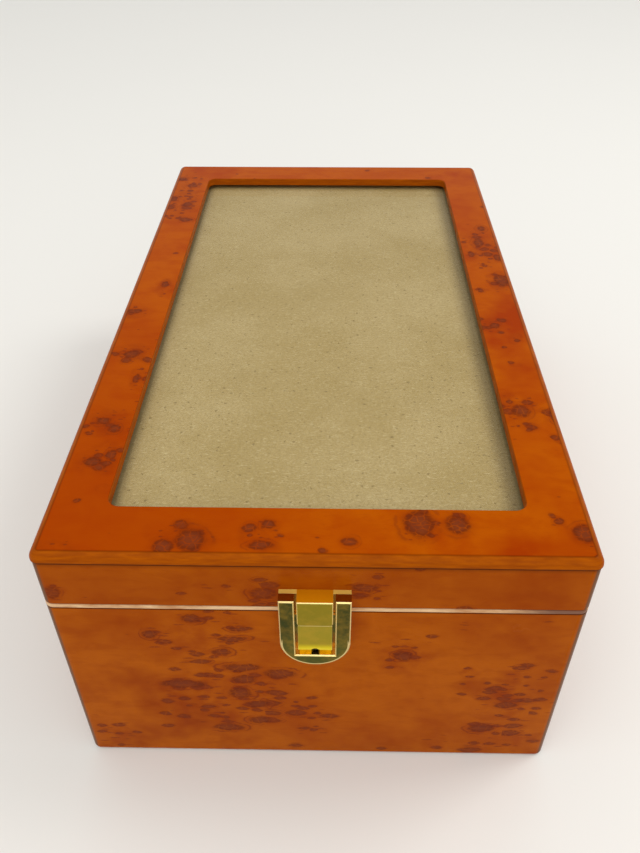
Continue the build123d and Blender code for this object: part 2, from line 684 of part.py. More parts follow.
def catch_spring():
    """The coil behind the button, wound round its stem."""
    wire = SPRING_WIRE / 2
    start = BUTTON_BACK - wire
    line = Helix(SPRING_LENGTH / SPRING_TURNS, SPRING_LENGTH, SPRING_RADIUS)
    section = Plane(line @ 0, z_dir=line % 0) * Circle(wire)
    coil = sweep(section, path=line, is_frenet=True)
    return Pos(0, FRONT - start, STEM_Z) * Rot(-90, 0, 0) * coil


# ---------------------------------------------------------------- everything together
def build():
    """All pieces by name, each in its place."""
    pieces = {}
    pieces.update(base_walls())
    pieces["base_rim_band"] = base_rim_band()
    pieces["base_bottom_panel"] = base_bottom_panel()
    pieces["base_felt"] = base_felt()
    pieces["base_floor_lining"] = centred(INNER_WIDTH, INNER_LENGTH, (FLOOR_BOARD_TOP, COMPARTMENT_FLOOR))
    pieces.update(base_linings())
    pieces.update(lower_boards())
    pieces.update(tray_case())
    pieces["tray_long_divider"] = tray_long_divider()
    pieces["tray_cross_dividers"] = tray_cross_dividers()
    pieces.update(watch_cushions())
    pieces["lid_top_frame"] = lid_top_frame()
    pieces.update(lid_walls())
    pieces.update(lid_filling())
    for side, centre in zip(("left", "right"), HINGE_CENTRES):
        pieces[f"{side}_hinge_base_leaf"] = hinge_base_leaf(centre)
        pieces[f"{side}_hinge_lid_leaf"] = hinge_lid_leaf(centre)
    pieces["hinge_pins"] = hinge_pins()
    pieces["hinge_base_screws"] = Compound(children=base_screws(screw))
    pieces["hinge_lid_screws"] = Compound(children=lid_screws(screw))
    pieces["catch_housing"] = catch_housing()
    pieces["catch_housing_screw"] = catch_housing_screw()
    pieces["catch_lid_plate"] = catch_lid_plate()
    pieces["catch_button"] = catch_button()
    pieces["catch_spring"] = catch_spring()
    return pieces


os.makedirs("parts", exist_ok=True)
for name, piece in build().items():
    export_step(piece, f"parts/{name}.step")
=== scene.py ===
"""Looks of a glazed watch box in burl veneer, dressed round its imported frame."""

import json
import logging
import math
import random
from dataclasses import dataclass, replace
from enum import Enum
from typing import Any, Callable, Sequence

import bmesh
import bpy
from mathutils import Matrix, Vector, noise
from mathutils.bvhtree import BVHTree

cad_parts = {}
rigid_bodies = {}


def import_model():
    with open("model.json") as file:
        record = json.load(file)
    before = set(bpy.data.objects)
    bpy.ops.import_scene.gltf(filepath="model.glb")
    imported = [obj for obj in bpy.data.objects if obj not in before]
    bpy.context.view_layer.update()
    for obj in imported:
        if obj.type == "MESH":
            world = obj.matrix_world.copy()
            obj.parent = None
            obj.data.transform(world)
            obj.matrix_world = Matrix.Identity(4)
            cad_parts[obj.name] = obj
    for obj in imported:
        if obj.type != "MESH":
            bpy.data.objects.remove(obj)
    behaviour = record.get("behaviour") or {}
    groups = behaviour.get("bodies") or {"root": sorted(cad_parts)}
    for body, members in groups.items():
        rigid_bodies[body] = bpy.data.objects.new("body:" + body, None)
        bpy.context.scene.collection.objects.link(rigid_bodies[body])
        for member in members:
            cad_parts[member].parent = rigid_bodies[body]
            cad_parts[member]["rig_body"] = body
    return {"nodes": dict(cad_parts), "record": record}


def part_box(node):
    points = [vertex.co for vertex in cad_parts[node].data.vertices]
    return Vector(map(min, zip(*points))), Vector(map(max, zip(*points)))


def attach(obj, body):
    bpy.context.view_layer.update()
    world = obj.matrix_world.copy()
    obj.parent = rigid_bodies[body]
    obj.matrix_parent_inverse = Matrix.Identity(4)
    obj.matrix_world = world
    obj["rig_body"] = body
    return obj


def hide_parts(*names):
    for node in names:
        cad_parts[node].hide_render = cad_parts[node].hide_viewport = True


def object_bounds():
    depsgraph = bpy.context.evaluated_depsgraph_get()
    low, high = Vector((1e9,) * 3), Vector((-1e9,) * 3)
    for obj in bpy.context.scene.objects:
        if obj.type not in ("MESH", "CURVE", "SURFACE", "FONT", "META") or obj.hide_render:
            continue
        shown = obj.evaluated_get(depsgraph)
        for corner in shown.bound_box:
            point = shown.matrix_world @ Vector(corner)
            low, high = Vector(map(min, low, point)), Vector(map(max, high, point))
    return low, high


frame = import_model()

log = logging.getLogger("watch_box")

MM = 0.001
CAD_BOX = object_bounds()
RECORD = frame["record"]
LID_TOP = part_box("lid_top_frame")
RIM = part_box("base_rim_band")
LID_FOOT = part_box("lid_front_wall")[0].z
OUTER_SKIN = 4.6 * MM
CAD_DOUBLES = 2e-6
GROWN_DOUBLES = 1e-6
LYING_BACK = (-math.pi / 2, 0.0, 0.0)
FLAT_ENOUGH = math.radians(0.8)
CORNER = math.radians(28)

Colour = tuple[float, float, float]
Socket = bpy.types.NodeSocket
Piece = bpy.types.Object
Material = bpy.types.Material
Pieces = list[Piece]


def srgb(red: int, green: int, blue: int) -> Colour:
    """A linear colour from 0 to 255 display values.

    Args:
        red: Display red.
        green: Display green.
        blue: Display blue.

    Returns:
        The linear colour.
    """
    def linear(value: float) -> float:
        """One channel, from display to linear."""
        value /= 255
        return value / 12.92 if value <= 0.04045 else ((value + 0.055) / 1.055) ** 2.4

    return linear(red), linear(green), linear(blue)


# ------------------------------------------------------------------ shader maths
def _operator(operation: str, turned: bool = False) -> Callable[["Value", Any], "Value"]:
    """An arithmetic method that adds one Math node.

    Args:
        operation: The node's operation.
        turned: Whether the other term comes first.

    Returns:
        The method.
    """
    def apply(self: "Value", other: Any) -> "Value":
        """The node's result for this value and another term."""
        return self._math(operation, *((other, self) if turned else (self, other)))

    return apply


class Value:
    """A number in a shader tree that takes part in Python arithmetic."""

    def __init__(self, tree: "ShaderTree", socket: Socket) -> None:
        """Wraps one output socket of a tree."""
        self.tree = tree
        self.socket = socket

    def _math(self, operation: str, *terms: Any, clamp: bool = False) -> "Value":
        """Adds one Math node.

        Args:
            operation: The node's operation.
            terms: What goes into its sockets, in order.
            clamp: Whether the result is kept from 0 to 1.

        Returns:
            The node's result.
        """
        settings = {"operation": operation, "use_clamp": clamp}
        made = self.tree.node("ShaderNodeMath", settings, dict(enumerate(terms)))
        return Value(self.tree, made.outputs[0])

    __add__ = __radd__ = _operator("ADD")
    __sub__ = _operator("SUBTRACT")
    __rsub__ = _operator("SUBTRACT", turned=True)
    __mul__ = __rmul__ = _operator("MULTIPLY")
    __truediv__ = _operator("DIVIDE")
    __pow__ = _operator("POWER")
    __lt__ = _operator("LESS_THAN")
    most = _operator("MAXIMUM")
    least = _operator("MINIMUM")

    def __abs__(self) -> "Value":
        """Size without its sign."""
        return self._math("ABSOLUTE", self)

    def clamped(self) -> "Value":
        """The value kept from 0 to 1."""
        return self._math("ADD", self, 0.0, clamp=True)

    def between(self, low: float, high: float) -> "Value":
        """A smooth step.

        Args:
            low: Where the result is 0.
            high: Where the result is 1; it may be below low.

        Returns:
            A value from 0 to 1.
        """
        settings = {"interpolation_type": "SMOOTHSTEP"}
        if high > low:
            ends = {1: low, 2: high, 3: 0.0, 4: 1.0}
        else:
            ends = {1: high, 2: low, 3: 1.0, 4: 0.0}
        made = self.tree.node("ShaderNodeMapRange", settings, {0: self, **ends})
        return Value(self.tree, made.outputs[0])


class NodeTree:
    """A node tree with one method that adds any node."""

    tree: bpy.types.NodeTree

    def node(self, kind: str, settings: dict[str, Any] | None = None,
             inputs: dict[int | str, Any] | None = None) -> bpy.types.Node:
        """Adds a node: its settings first, then its sockets.

        Args:
            kind: The node's type.
            settings: Properties by name; "stops" fills a colour ramp.
            inputs: Values, sockets or Values by socket name or number; a list joins several.

        Returns:
            The node.
        """
        made = self.tree.nodes.new(kind)
        for key, value in (settings or {}).items():
            if key == "stops":
                self._fill_ramp(made.color_ramp, value)
            else:
                setattr(made, key, value)
        for key, value in (inputs or {}).items():
            for one in value if isinstance(value, list) else [value]:
                self._feed(made.inputs[key], one)
        return made

    def _feed(self, socket: Socket, value: Any) -> None:
        """Links a socket, or sets it."""
        if isinstance(value, Value):
            value = value.socket
        if isinstance(value, Socket):
            self.tree.links.new(value, socket)
        elif socket.type == "RGBA" and len(value) == 3:
            socket.default_value = (*value, 1.0)
        else:
            socket.default_value = value

    @staticmethod
    def _fill_ramp(ramp: bpy.types.ColorRamp, stops: Sequence[tuple[float, Colour]]) -> None:
        """Sets a ramp's stops.

        Args:
            ramp: The ramp, with its two first stops.
            stops: Places and colours, in rising order.
        """
        while len(ramp.elements) < len(stops):
            ramp.elements.new(1.0)
        for element, (place, colour) in zip(ramp.elements, stops):
            element.position = place
            element.color = (*colour, 1.0)

    def joined(self, x: Any, y: Any, z: Any = 0.0) -> Socket:
        """A vector from three numbers."""
        return self.node("ShaderNodeCombineXYZ", inputs={0: x, 1: y, 2: z}).outputs[0]


class ShaderTree(NodeTree):
    """A material's node tree."""

    def __init__(self, name: str) -> None:
        """Makes an empty material.

        Args:
            name: The material's name.
        """
        self.material = bpy.data.materials.new(name)
        self.material.use_nodes = True
        self.tree = self.material.node_tree
        self.tree.nodes.clear()
        self._place: Socket | None = None

    def place(self) -> Socket:
        """The object coordinates, in metres."""
        if self._place is None:
            self._place = self.node("ShaderNodeTexCoord").outputs["Object"]
        return self._place

    def facing(self) -> Socket:
        """The way the surface faces, in the object's own frame."""
        return self.node("ShaderNodeTexCoord").outputs["Normal"]

    def parts(self, vector: Socket) -> tuple[Value, Value, Value]:
        """The three components of a vector or colour."""
        split = self.node("ShaderNodeSeparateXYZ", inputs={0: vector})
        return tuple(Value(self, output) for output in split.outputs)

    def vector(self, operation: str, a: Any, b: Any) -> Socket:
        """Vector arithmetic on two vectors."""
        return self.node("ShaderNodeVectorMath", {"operation": operation}, {0: a, 1: b}).outputs[0]

    def length(self, vector: Socket) -> Value:
        """The length of a vector."""
        made = self.node("ShaderNodeVectorMath", {"operation": "LENGTH"}, {0: vector})
        return Value(self, made.outputs["Value"])

    def scaled(self, vector: Socket, x: float, y: float, z: float) -> Socket:
        """A vector with each component multiplied."""
        return self.vector("MULTIPLY", vector, (x, y, z))

    def noise(self, vector: Socket, scale: float, detail: float = 3.0,
              roughness: float = 0.55) -> Value:
        """Fractal noise from about 0 to 1.

        Args:
            vector: Where it is read.
            scale: Features in one metre.
            detail: How many finer layers it has.
            roughness: How strong those are.

        Returns:
            The noise.
        """
        inputs = {"Vector": vector, "Scale": scale, "Detail": detail, "Roughness": roughness}
        return Value(self, self.node("ShaderNodeTexNoise", inputs=inputs).outputs[0])

    def wobble(self, vector: Socket, scale: float, amount: float) -> Socket:
        """A vector pushed about by noise.

        Args:
            vector: The vector.
            scale: Features in one metre.
            amount: How far it is pushed, in metres.

        Returns:
            The pushed vector.
        """
        inputs = {"Vector": vector, "Scale": scale, "Detail": 2.0}
        push = self.node("ShaderNodeTexNoise", inputs=inputs).outputs["Color"]
        push = self.vector("SUBTRACT", push, (0.5, 0.5, 0.5))
        return self.vector("ADD", vector, self.scaled(push, amount, amount, amount))

    def mix(self, factor: Any, a: Any, b: Any, blend: str = "MIX") -> Socket:
        """Two colours mixed.

        Args:
            factor: How much of the second there is.
            a: First colour or socket.
            b: Second colour or socket.
            blend: The way they mix.

        Returns:
            The mixed colour.
        """
        settings = {"data_type": "RGBA", "blend_type": blend}
        made = self.node("ShaderNodeMix", settings, {0: factor, 6: a, 7: b})
        return made.outputs[2]

    def ramp(self, factor: Any, stops: Sequence[tuple[float, Colour]]) -> Socket:
        """A colour picked from stops."""
        return self.node("ShaderNodeValToRGB", {"stops": stops}, {0: factor}).outputs[0]

    def bump(self, height: Value, distance: float, strength: float = 1.0) -> Socket:
        """A normal from a height.

        Args:
            height: The height, from 0 to 1.
            distance: How much one unit of height is, in metres.
            strength: How strong the effect is.

        Returns:
            The normal.
        """
        inputs = {"Height": height, "Distance": distance, "Strength": strength}
        return self.node("ShaderNodeBump", inputs=inputs).outputs[0]

    def finish(self, **sockets: Any) -> Material:
        """Ends the tree in a Principled shader.

        Args:
            sockets: Socket values, with underscores for spaces in their names.

        Returns:
            The material.
        """
        inputs = {key.replace("_", " "): value for key, value in sockets.items()}
        shader = self.node("ShaderNodeBsdfPrincipled", inputs=inputs)
        return self.output(shader.outputs[0])

    def output(self, surface: Socket) -> Material:
        """Ends the tree in any shader socket."""
        self.node("ShaderNodeOutputMaterial", inputs={"Surface": surface})
        return self.material


# ------------------------------------------------------------------ wood finishes
class Face(Enum):
    """The side of the box that a veneered board shows."""

    FRONT = "front"
    BACK = "back"
    LEFT = "left"
    RIGHT = "right"
    TOP = "top"


@dataclass(frozen=True)
class Spot:
    """A patch of the veneer where burl eyes crowd together, in millimetres on its face."""

    across: float
    up: float
    wide: float
    high: float
    crowd: float = 1.0


@dataclass(frozen=True)
class EyeSize:
    """One size of burl eye, in millimetres of its cell."""

    cell: float
    stretch: float
    smallest: float
    spread: float
    seed: float
    strength: float = 0.84
    share: float = 0.6
    curls: bool = False


@dataclass(frozen=True)
class Ground:
    """The three browns that the plain veneer drifts between."""

    dull: Colour
    warm: Colour
    red: Colour


WALL_GROUND = Ground(srgb(144, 60, 0), srgb(166, 82, 6), srgb(132, 49, 0))
TOP_GROUND = Ground(srgb(158, 62, 0), srgb(170, 77, 0), srgb(150, 50, 0))


@dataclass(frozen=True)
class BurlVeneer:
    """Orange-brown burl veneer under lacquer, with clusters of dark eyes."""

    face: Face
    spots: tuple[Spot, ...]
    knots: tuple[Spot, ...] = ()
    ground: Ground = WALL_GROUND
    pointed: float = 0.8
    flow: float = 1.0
    curls: float = 1.0
    gloss: float = 0.03
    scattered: float = 0.012
    half_width: float = 0.1
    half_length: float = 0.176
    corner_band: float = 3.0 * MM
    band_fade: float = 0.8 * MM
    seam_reach: tuple[float, float] = (1.4 * MM, 0.9 * MM)
    joint: tuple[float, float] = (0.7 * MM, 0.3 * MM)
    parting: tuple[float, float] = (0.6 * MM, 0.2 * MM)
    shade_reach: float = 2.6 * MM
    rounding: tuple[float, float] = (0.05 * MM, 0.14 * MM)
    moulding_above: tuple[float, float] = (0.01 * MM, 0.04 * MM)
    moulding_below: tuple[float, float] = (0.22 * MM, 0.12 * MM)
    blush_from: tuple[float, float] = (0.02, 0.0)
    blush_to: tuple[float, float] = (-0.08, -0.15)
    mist: Colour = srgb(128, 42, 4)
    streak: Colour = srgb(116, 44, 10)
    eye_rim: Colour = srgb(94, 34, 8)
    eye_middle: Colour = srgb(112, 50, 24)
    # corner: plain edge veneer darkened as painted shade on the rounded corners.
    corner: Colour = srgb(98, 68, 44)
    moulding: Colour = srgb(136, 62, 8)
    # The dark colour of the joint lines, which is partly painted shade in the gaps and a painted
    # shadow band under the top frame.
    dark_joint_and_shadow: Colour = srgb(56, 18, 2)
    sizes: tuple[EyeSize, ...] = (
        EyeSize(cell=7.4, stretch=1.7, smallest=0.17, spread=0.18, seed=3.7, curls=True),
        EyeSize(cell=4.8, stretch=1.6, smallest=0.14, spread=0.2, seed=11.3, share=0.5),
        EyeSize(cell=2.4, stretch=4.4, smallest=0.06, spread=0.12, seed=47.9, strength=0.6),
    )

    def flat_place(self, tree: ShaderTree) -> Socket:
        """The place on the board's face: across, up and nothing.

        Args:
            tree: The material's tree.

        Returns:
            A flat vector in metres.
        """
        x, y, z = tree.parts(tree.place())
        pair = {
            Face.FRONT: (x, z),
            Face.BACK: (x * -1, z),
            Face.LEFT: (y * -1, z),
            Face.RIGHT: (y, z),
            Face.TOP: (x, y),
        }[self.face]
        return tree.joined(*pair)

    def crowding(self, tree: ShaderTree, place: Socket) -> Value:
        """How crowded the eyes are at a place.

        Args:
            tree: The material's tree.
            place: A flat vector in metres.

        Returns:
            A value from 0 to about 1.
        """
        total: Value | None = None
        for spot in self.spots:
            centre = (spot.across * MM, spot.up * MM, 0.0)
            offset = tree.vector("SUBTRACT", place, centre)
            offset = tree.scaled(offset, 1 / (spot.wide * MM), 1 / (spot.high * MM), 0.0)
            inside = (1.0 - tree.length(offset)) * (2.4 * spot.crowd)
            total = inside if total is None else total.most(inside)
        return total.clamped()

    def eyes(self, tree: ShaderTree, place: Socket, size: EyeSize) -> tuple[Value, Value]:
        """One size of eyes.

        Args:
            tree: The material's tree.
            place: A flat vector in metres.
            size: The size.

        Returns:
            Where those eyes are, 0 or 1 for each cell, and how far out from an eye's
            middle a point lies, 1 at the eye's rim.
        """
        high = size.cell * MM
        wide = high * (1 + (size.stretch - 1) * self.flow)
        pushed = tree.wobble(place, 0.45 / high, high * 0.55)
        pushed = tree.wobble(pushed, 1.9 / high, high * 0.16)
        shift = (size.seed, size.seed * 2, 0.0)
        cells = tree.vector("ADD", tree.scaled(pushed, 1 / wide, 1 / high, 0.0), shift)
        settings = {"voronoi_dimensions": "2D", "feature": "F1"}
        voronoi = tree.node("ShaderNodeTexVoronoi", settings,
                            {"Vector": cells, "Scale": 1.0, "Randomness": 0.9})
        middle = voronoi.outputs["Position"]
        chance, girth, _ = tree.parts(voronoi.outputs["Color"])
        radius = girth * size.spread + size.smallest
        across, up, _ = tree.parts(tree.vector("SUBTRACT", cells, middle))
        lens = abs(up) / radius + (across / (radius * 1.35)) ** 2
        disc = Value(tree, voronoi.outputs["Distance"]) / radius
        outward = lens * self.pointed + disc * (1 - self.pointed)
        middle = tree.scaled(tree.vector("SUBTRACT", middle, shift), wide, high, 0.0)
        crowd = self.crowding(tree, middle) * size.share + self.scattered
        return chance < crowd, outward

    def knot_distance(self, tree: ShaderTree, place: Socket) -> Value:
        """How far out from the nearest large knot a point lies, 1 at its rim.

        Args:
            tree: The material's tree.
            place: A flat vector in metres.

        Returns:
            The distance.
        """
        pushed = tree.wobble(tree.wobble(place, 170.0, 0.0035), 640.0, 0.0011)
        nearest: Value | None = None
        for knot in self.knots:
            offset = tree.vector("SUBTRACT", pushed, (knot.across * MM, knot.up * MM, 0.0))
            offset = tree.scaled(offset, 1 / (knot.wide * MM), 1 / (knot.high * MM), 0.0)
            outward = tree.length(offset)
            nearest = outward if nearest is None else nearest.least(outward)
        return nearest

    def paint_eyes(self, tree: ShaderTree, colour: Socket, outward: Value, here: Value,
                   texture: tuple[Value, Value], strength: float) -> Socket:
        """Eyes over the wood: a reddish halo, a dark rim and a browner, split middle.

        Args:
            tree: The material's tree.
            colour: The wood so far.
            outward: How far out from an eye's middle a point lies.
            here: Where eyes may be.
            texture: The grain, and the pale lines that split an eye.
            strength: How dark the eyes are.

        Returns:
            The new colour.
        """
        grain, split = texture
        colour = tree.mix(outward.between(1.8, 0.8) * here * 0.3, colour, self.mist)
        rim = outward.between(0.35, 0.85) * 0.8 + grain * 0.2
        eye = tree.mix(rim, self.eye_middle, self.eye_rim)
        mask = outward.between(1.14, 0.66) * here
        mask = mask * (1.0 - split * 0.7) * (grain.between(0.3, 0.55) * 0.25 + 0.75)
        return tree.mix(mask * strength, colour, eye)

    def edge_band(self, tree: ShaderTree) -> Value:
        """Where the board turns the corner of the box: plain wood, which on the walls is darkened
        as painted shade on the rounded corners.
        """
        x, y, z = tree.parts(tree.place())
        inner = self.half_width - self.corner_band
        inner_end = self.half_length - self.corner_band
        if self.face in (Face.FRONT, Face.BACK):
            return abs(x).between(inner, inner + self.band_fade)
        if self.face in (Face.LEFT, Face.RIGHT):
            return abs(y).between(inner_end, inner_end + self.band_fade)
        depth = LID_TOP[1].z - z
        return depth.between(*self.rounding)

    def moulding_line(self, tree: ShaderTree) -> Value:
        """The fine line where the top veneer ends above the rounded edge."""
        _, _, z = tree.parts(tree.place())
        depth = LID_TOP[1].z - z
        return depth.between(*self.moulding_above) * depth.between(*self.moulding_below)

    def seams(self, tree: ShaderTree) -> Value:
        """The dark lines where the boards meet, under the top frame and at the parting, darkened
        as painted shade in those gaps, with a painted shadow band under the top frame.
        """
        x, y, z = tree.parts(tree.place())
        under = LID_TOP[0].z
        deep, near = self.seam_reach
        outer = abs(x).between(self.half_width - deep, self.half_width - near)
        outer = outer.most(abs(y).between(self.half_length - deep, self.half_length - near))
        # The joint line under the top frame, darkened as painted shade from the overhang.
        line = abs(z - under).between(*self.joint)
        if self.face is Face.TOP:
            return line * outer
        # Painted shadow band under the top frame, then painted shade in the parting gaps.
        shade = z.between(under - self.shade_reach, under) * 0.45
        for level in (LID_FOOT, RIM[0].z):
            line = line.most(abs(z - level).between(*self.parting))
        return line.most(shade) * outer

    def ground_colour(self, tree: ShaderTree, place: Socket) -> Socket:
        """The plain veneer between the eyes.

        Args:
            tree: The material's tree.
            place: A flat vector in metres.

        Returns:
            Its colour.
        """
        ground = self.ground
        cloud = tree.noise(place, 15.0, 4.0, 0.6)
        colour = tree.ramp(cloud, [(0.32, ground.dull), (0.52, ground.warm), (0.68, ground.red)])
        curl = tree.wobble(tree.scaled(place, 1.0, 2.4, 1.0), 26.0, 0.03)
        figure = tree.noise(curl, 70.0, 4.0, 0.62)
        colour = tree.mix(figure.between(0.45, 0.7) * 0.35, colour, ground.red)
        colour = tree.mix(figure.between(0.44, 0.26) * 0.35, colour, ground.warm)
        fibre = tree.noise(tree.scaled(curl, 1.0, 3.4, 1.0), 330.0, 3.0, 0.7)
        colour = tree.mix(fibre.between(0.5, 0.75) * 0.22, colour, self.mist)
        pores = tree.noise(tree.scaled(place, 1.0, 1.6, 1.0), 1500.0, 1.0)
        colour = tree.mix(pores.between(0.66, 0.8) * 0.2, colour, self.mist)
        if self.face is not Face.TOP:
            return colour
        across, along, _ = tree.parts(place)
        blush = across.between(self.blush_from[0], self.blush_to[0])
        blush = blush * along.between(self.blush_from[1], self.blush_to[1])
        return tree.mix(blush * 0.65, colour, ground.red)

    def build(self) -> Material:
        """Makes the material.

        Returns:
            The veneer of one face.
        """
        tree = ShaderTree(f"burl_veneer_{self.face.value}")
        place = self.flat_place(tree)
        colour = self.ground_colour(tree, place)
        crowd = self.crowding(tree, tree.wobble(place, 90.0, 0.012))
        veil = crowd * tree.noise(place, 120.0, 3.0, 0.6).between(0.3, 0.7)
        colour = tree.mix(veil * 0.4, colour, self.mist)
        band = self.edge_band(tree)
        plain = 1.0 - band
        _, _, height = tree.parts(tree.place())
        grain = tree.noise(tree.scaled(place, 1.0, 2.5, 1.0), 520.0, 3.0, 0.65)
        settings = {"voronoi_dimensions": "2D", "feature": "DISTANCE_TO_EDGE"}
        cracked = tree.wobble(place, 500.0, 0.0014)
        split = tree.node("ShaderNodeTexVoronoi", settings, {
            "Vector": tree.scaled(cracked, 1.0, 1.0 + 0.5 * self.flow, 0.0),
            "Scale": 330.0}).outputs["Distance"]
        split = Value(tree, split).between(0.13, 0.02) * grain.between(0.35, 0.55)
        texture = (grain, split)
        for size in self.sizes:
            here, outward = self.eyes(tree, place, size)
            here = here * plain
            colour = self.paint_eyes(tree, colour, outward, here, texture, size.strength)
            if size.curls:
                gate = tree.noise(place, 95.0, 2.0).between(0.47, 0.58)
                arc = outward.between(1.36, 1.46) * outward.between(1.66, 1.5)
                colour = tree.mix(arc * gate * here * (0.6 * self.curls), colour, self.streak)
        if self.knots:
            outward = self.knot_distance(tree, place)
            colour = self.paint_eyes(tree, colour, outward, plain, texture, 0.9)
            gate = tree.noise(place, 80.0, 1.0).between(0.46, 0.56)
            arc = outward.between(1.24, 1.34) * outward.between(1.52, 1.4)
            colour = tree.mix(arc * gate * plain * (0.7 * self.curls), colour, self.streak)
        if self.face is Face.TOP:
            # The rounded edge: plain browner wood whose lighter patches are a painted highlight,
            # and a dark joint line where the top veneer ends.
            lighter_tone = tree.noise(tree.scaled(tree.place(), 1.0, 1.0, 10.0), 110.0, 4.0, 0.6)
            edging = tree.mix(lighter_tone.between(0.25, 0.8), self.moulding, WALL_GROUND.warm)
            colour = tree.mix(band * 0.9, colour, edging)
            colour = tree.mix(self.moulding_line(tree) * 0.35, colour, self.dark_joint_and_shadow)
        else:
            lid = height.between(RIM[1].z, LID_FOOT)
            colour = tree.mix(lid * 0.22, colour, self.ground.red)
            # The corner band: plain edge veneer, darkened as painted shade on the rounded corners.
            colour = tree.mix(band * 0.85, colour, self.corner)
        # Dark joint lines with painted shade in the gaps, and the painted shadow band under the
        # top frame.
        colour = tree.mix(self.seams(tree) * 0.8, colour, self.dark_joint_and_shadow)
        wear = tree.noise(tree.place(), 38.0, 4.0, 0.7)
        ripple = tree.noise(tree.place(), 130.0, 2.0)
        return tree.finish(
            Base_Color=colour,
            Roughness=wear.between(0.35, 0.8) * 0.1 + 0.18,
            Normal=tree.bump(ripple, 0.0001, 0.3),
            Specular_IOR_Level=self.gloss,
            Specular_Tint=(1.0, 0.6, 0.35, 1.0),
        )


@dataclass(frozen=True)
class PaleEdging:
    """The pale eased edging along the parting, with a small split near one corner."""

    cream: Colour = srgb(222, 184, 138)
    tan: Colour = srgb(178, 120, 70)
    dirt: Colour = srgb(96, 44, 16)
    split_from: float = 66.0 * MM
    split_to: float = 88.0 * MM
    front_skin: tuple[float, float] = (-173.8 * MM, -175.2 * MM)

    def build(self) -> Material:
        """Makes the material."""
        tree = ShaderTree("pale_edging")
        x, y, _ = tree.parts(tree.place())
        along = tree.noise(tree.scaled(tree.place(), 1.0, 1.0, 4.0), 45.0, 4.0, 0.7)
        colour = tree.mix(along.between(0.35, 0.7), self.cream, self.tan)
        stains = tree.noise(tree.place(), 160.0, 3.0, 0.7).between(0.6, 0.78)
        colour = tree.mix(stains * 0.3, colour, self.dirt)
        split = x.between(self.split_from, self.split_to) * y.between(*self.front_skin)
        colour = tree.mix(split * 0.9, colour, self.dirt)
        return tree.finish(Base_Color=colour, Roughness=along * 0.3 + 0.4,
                           Normal=tree.bump(along, 0.0003, 0.4))


@dataclass(frozen=True)
class RawBoard:
    """Pressed fibre board: a felted tan ground with short pale and dark fibres."""

    name: str
    ground: Colour
    cloudy: Colour
    fibre: Colour
    speck: Colour
    # window: half the opening's width; when given, the board is darkened by painted shade along
    # the window's sides.
    window: float | None = None
    window_shadow: Colour = srgb(62, 48, 30)
    shadow_reach_right: float = 11.0 * MM
    shadow_reach_left: float = 5.0 * MM
    shadow_line: tuple[float, float] = (2.2 * MM, 0.8 * MM)
    shadow_end: float = 0.5 * MM

    def build(self) -> Material:
        """Makes the material."""
        tree = ShaderTree(self.name)
        place = tree.place()
        cloud = tree.noise(place, 22.0, 5.0, 0.65)
        colour = tree.mix(cloud.between(0.3, 0.7), self.ground, self.cloudy)
        felted = tree.noise(place, 900.0, 4.0, 0.75)
        colour = tree.mix(felted.between(0.35, 0.7) * 0.42, colour, self.speck)
        for angle, scale in ((0.5, 420.0), (2.2, 480.0), (3.6, 380.0)):
            settings = {"vector_type": "POINT"}
            inputs = {"Vector": place, "Rotation": (0.0, 0.0, angle), "Scale": (1.0, 7.0, 1.0)}
            turned = tree.node("ShaderNodeMapping", settings, inputs).outputs[0]
            strand = tree.noise(turned, scale, 1.0).between(0.66, 0.74)
            colour = tree.mix(strand * 0.5, colour, self.fibre)
        fluff = tree.noise(place, 460.0, 4.0, 0.75).between(0.56, 0.72)
        colour = tree.mix(fluff * 0.3, colour, self.fibre)
        dots = tree.noise(place, 540.0, 0.0).between(0.72, 0.8)
        colour = tree.mix(dots * 0.65, colour, self.speck)
        # Painted shade along the window's sides, wider on the right, with a darker line near each
        # edge.
        if self.window is not None:
            x, _, _ = tree.parts(place)
            side = self.window
            right = x.between(side - self.shadow_reach_right, side - self.shadow_end) * 0.42
            left = x.between(self.shadow_reach_left - side, self.shadow_end - side) * 0.34
            line = abs(x).between(side - self.shadow_line[0], side - self.shadow_line[1]) * 0.5
            colour = tree.mix(right.most(left).most(line), colour, self.window_shadow)
        return tree.finish(Base_Color=colour, Roughness=0.8,
                           Normal=tree.bump(felted, 0.0001, 0.5), Specular_IOR_Level=0.25)


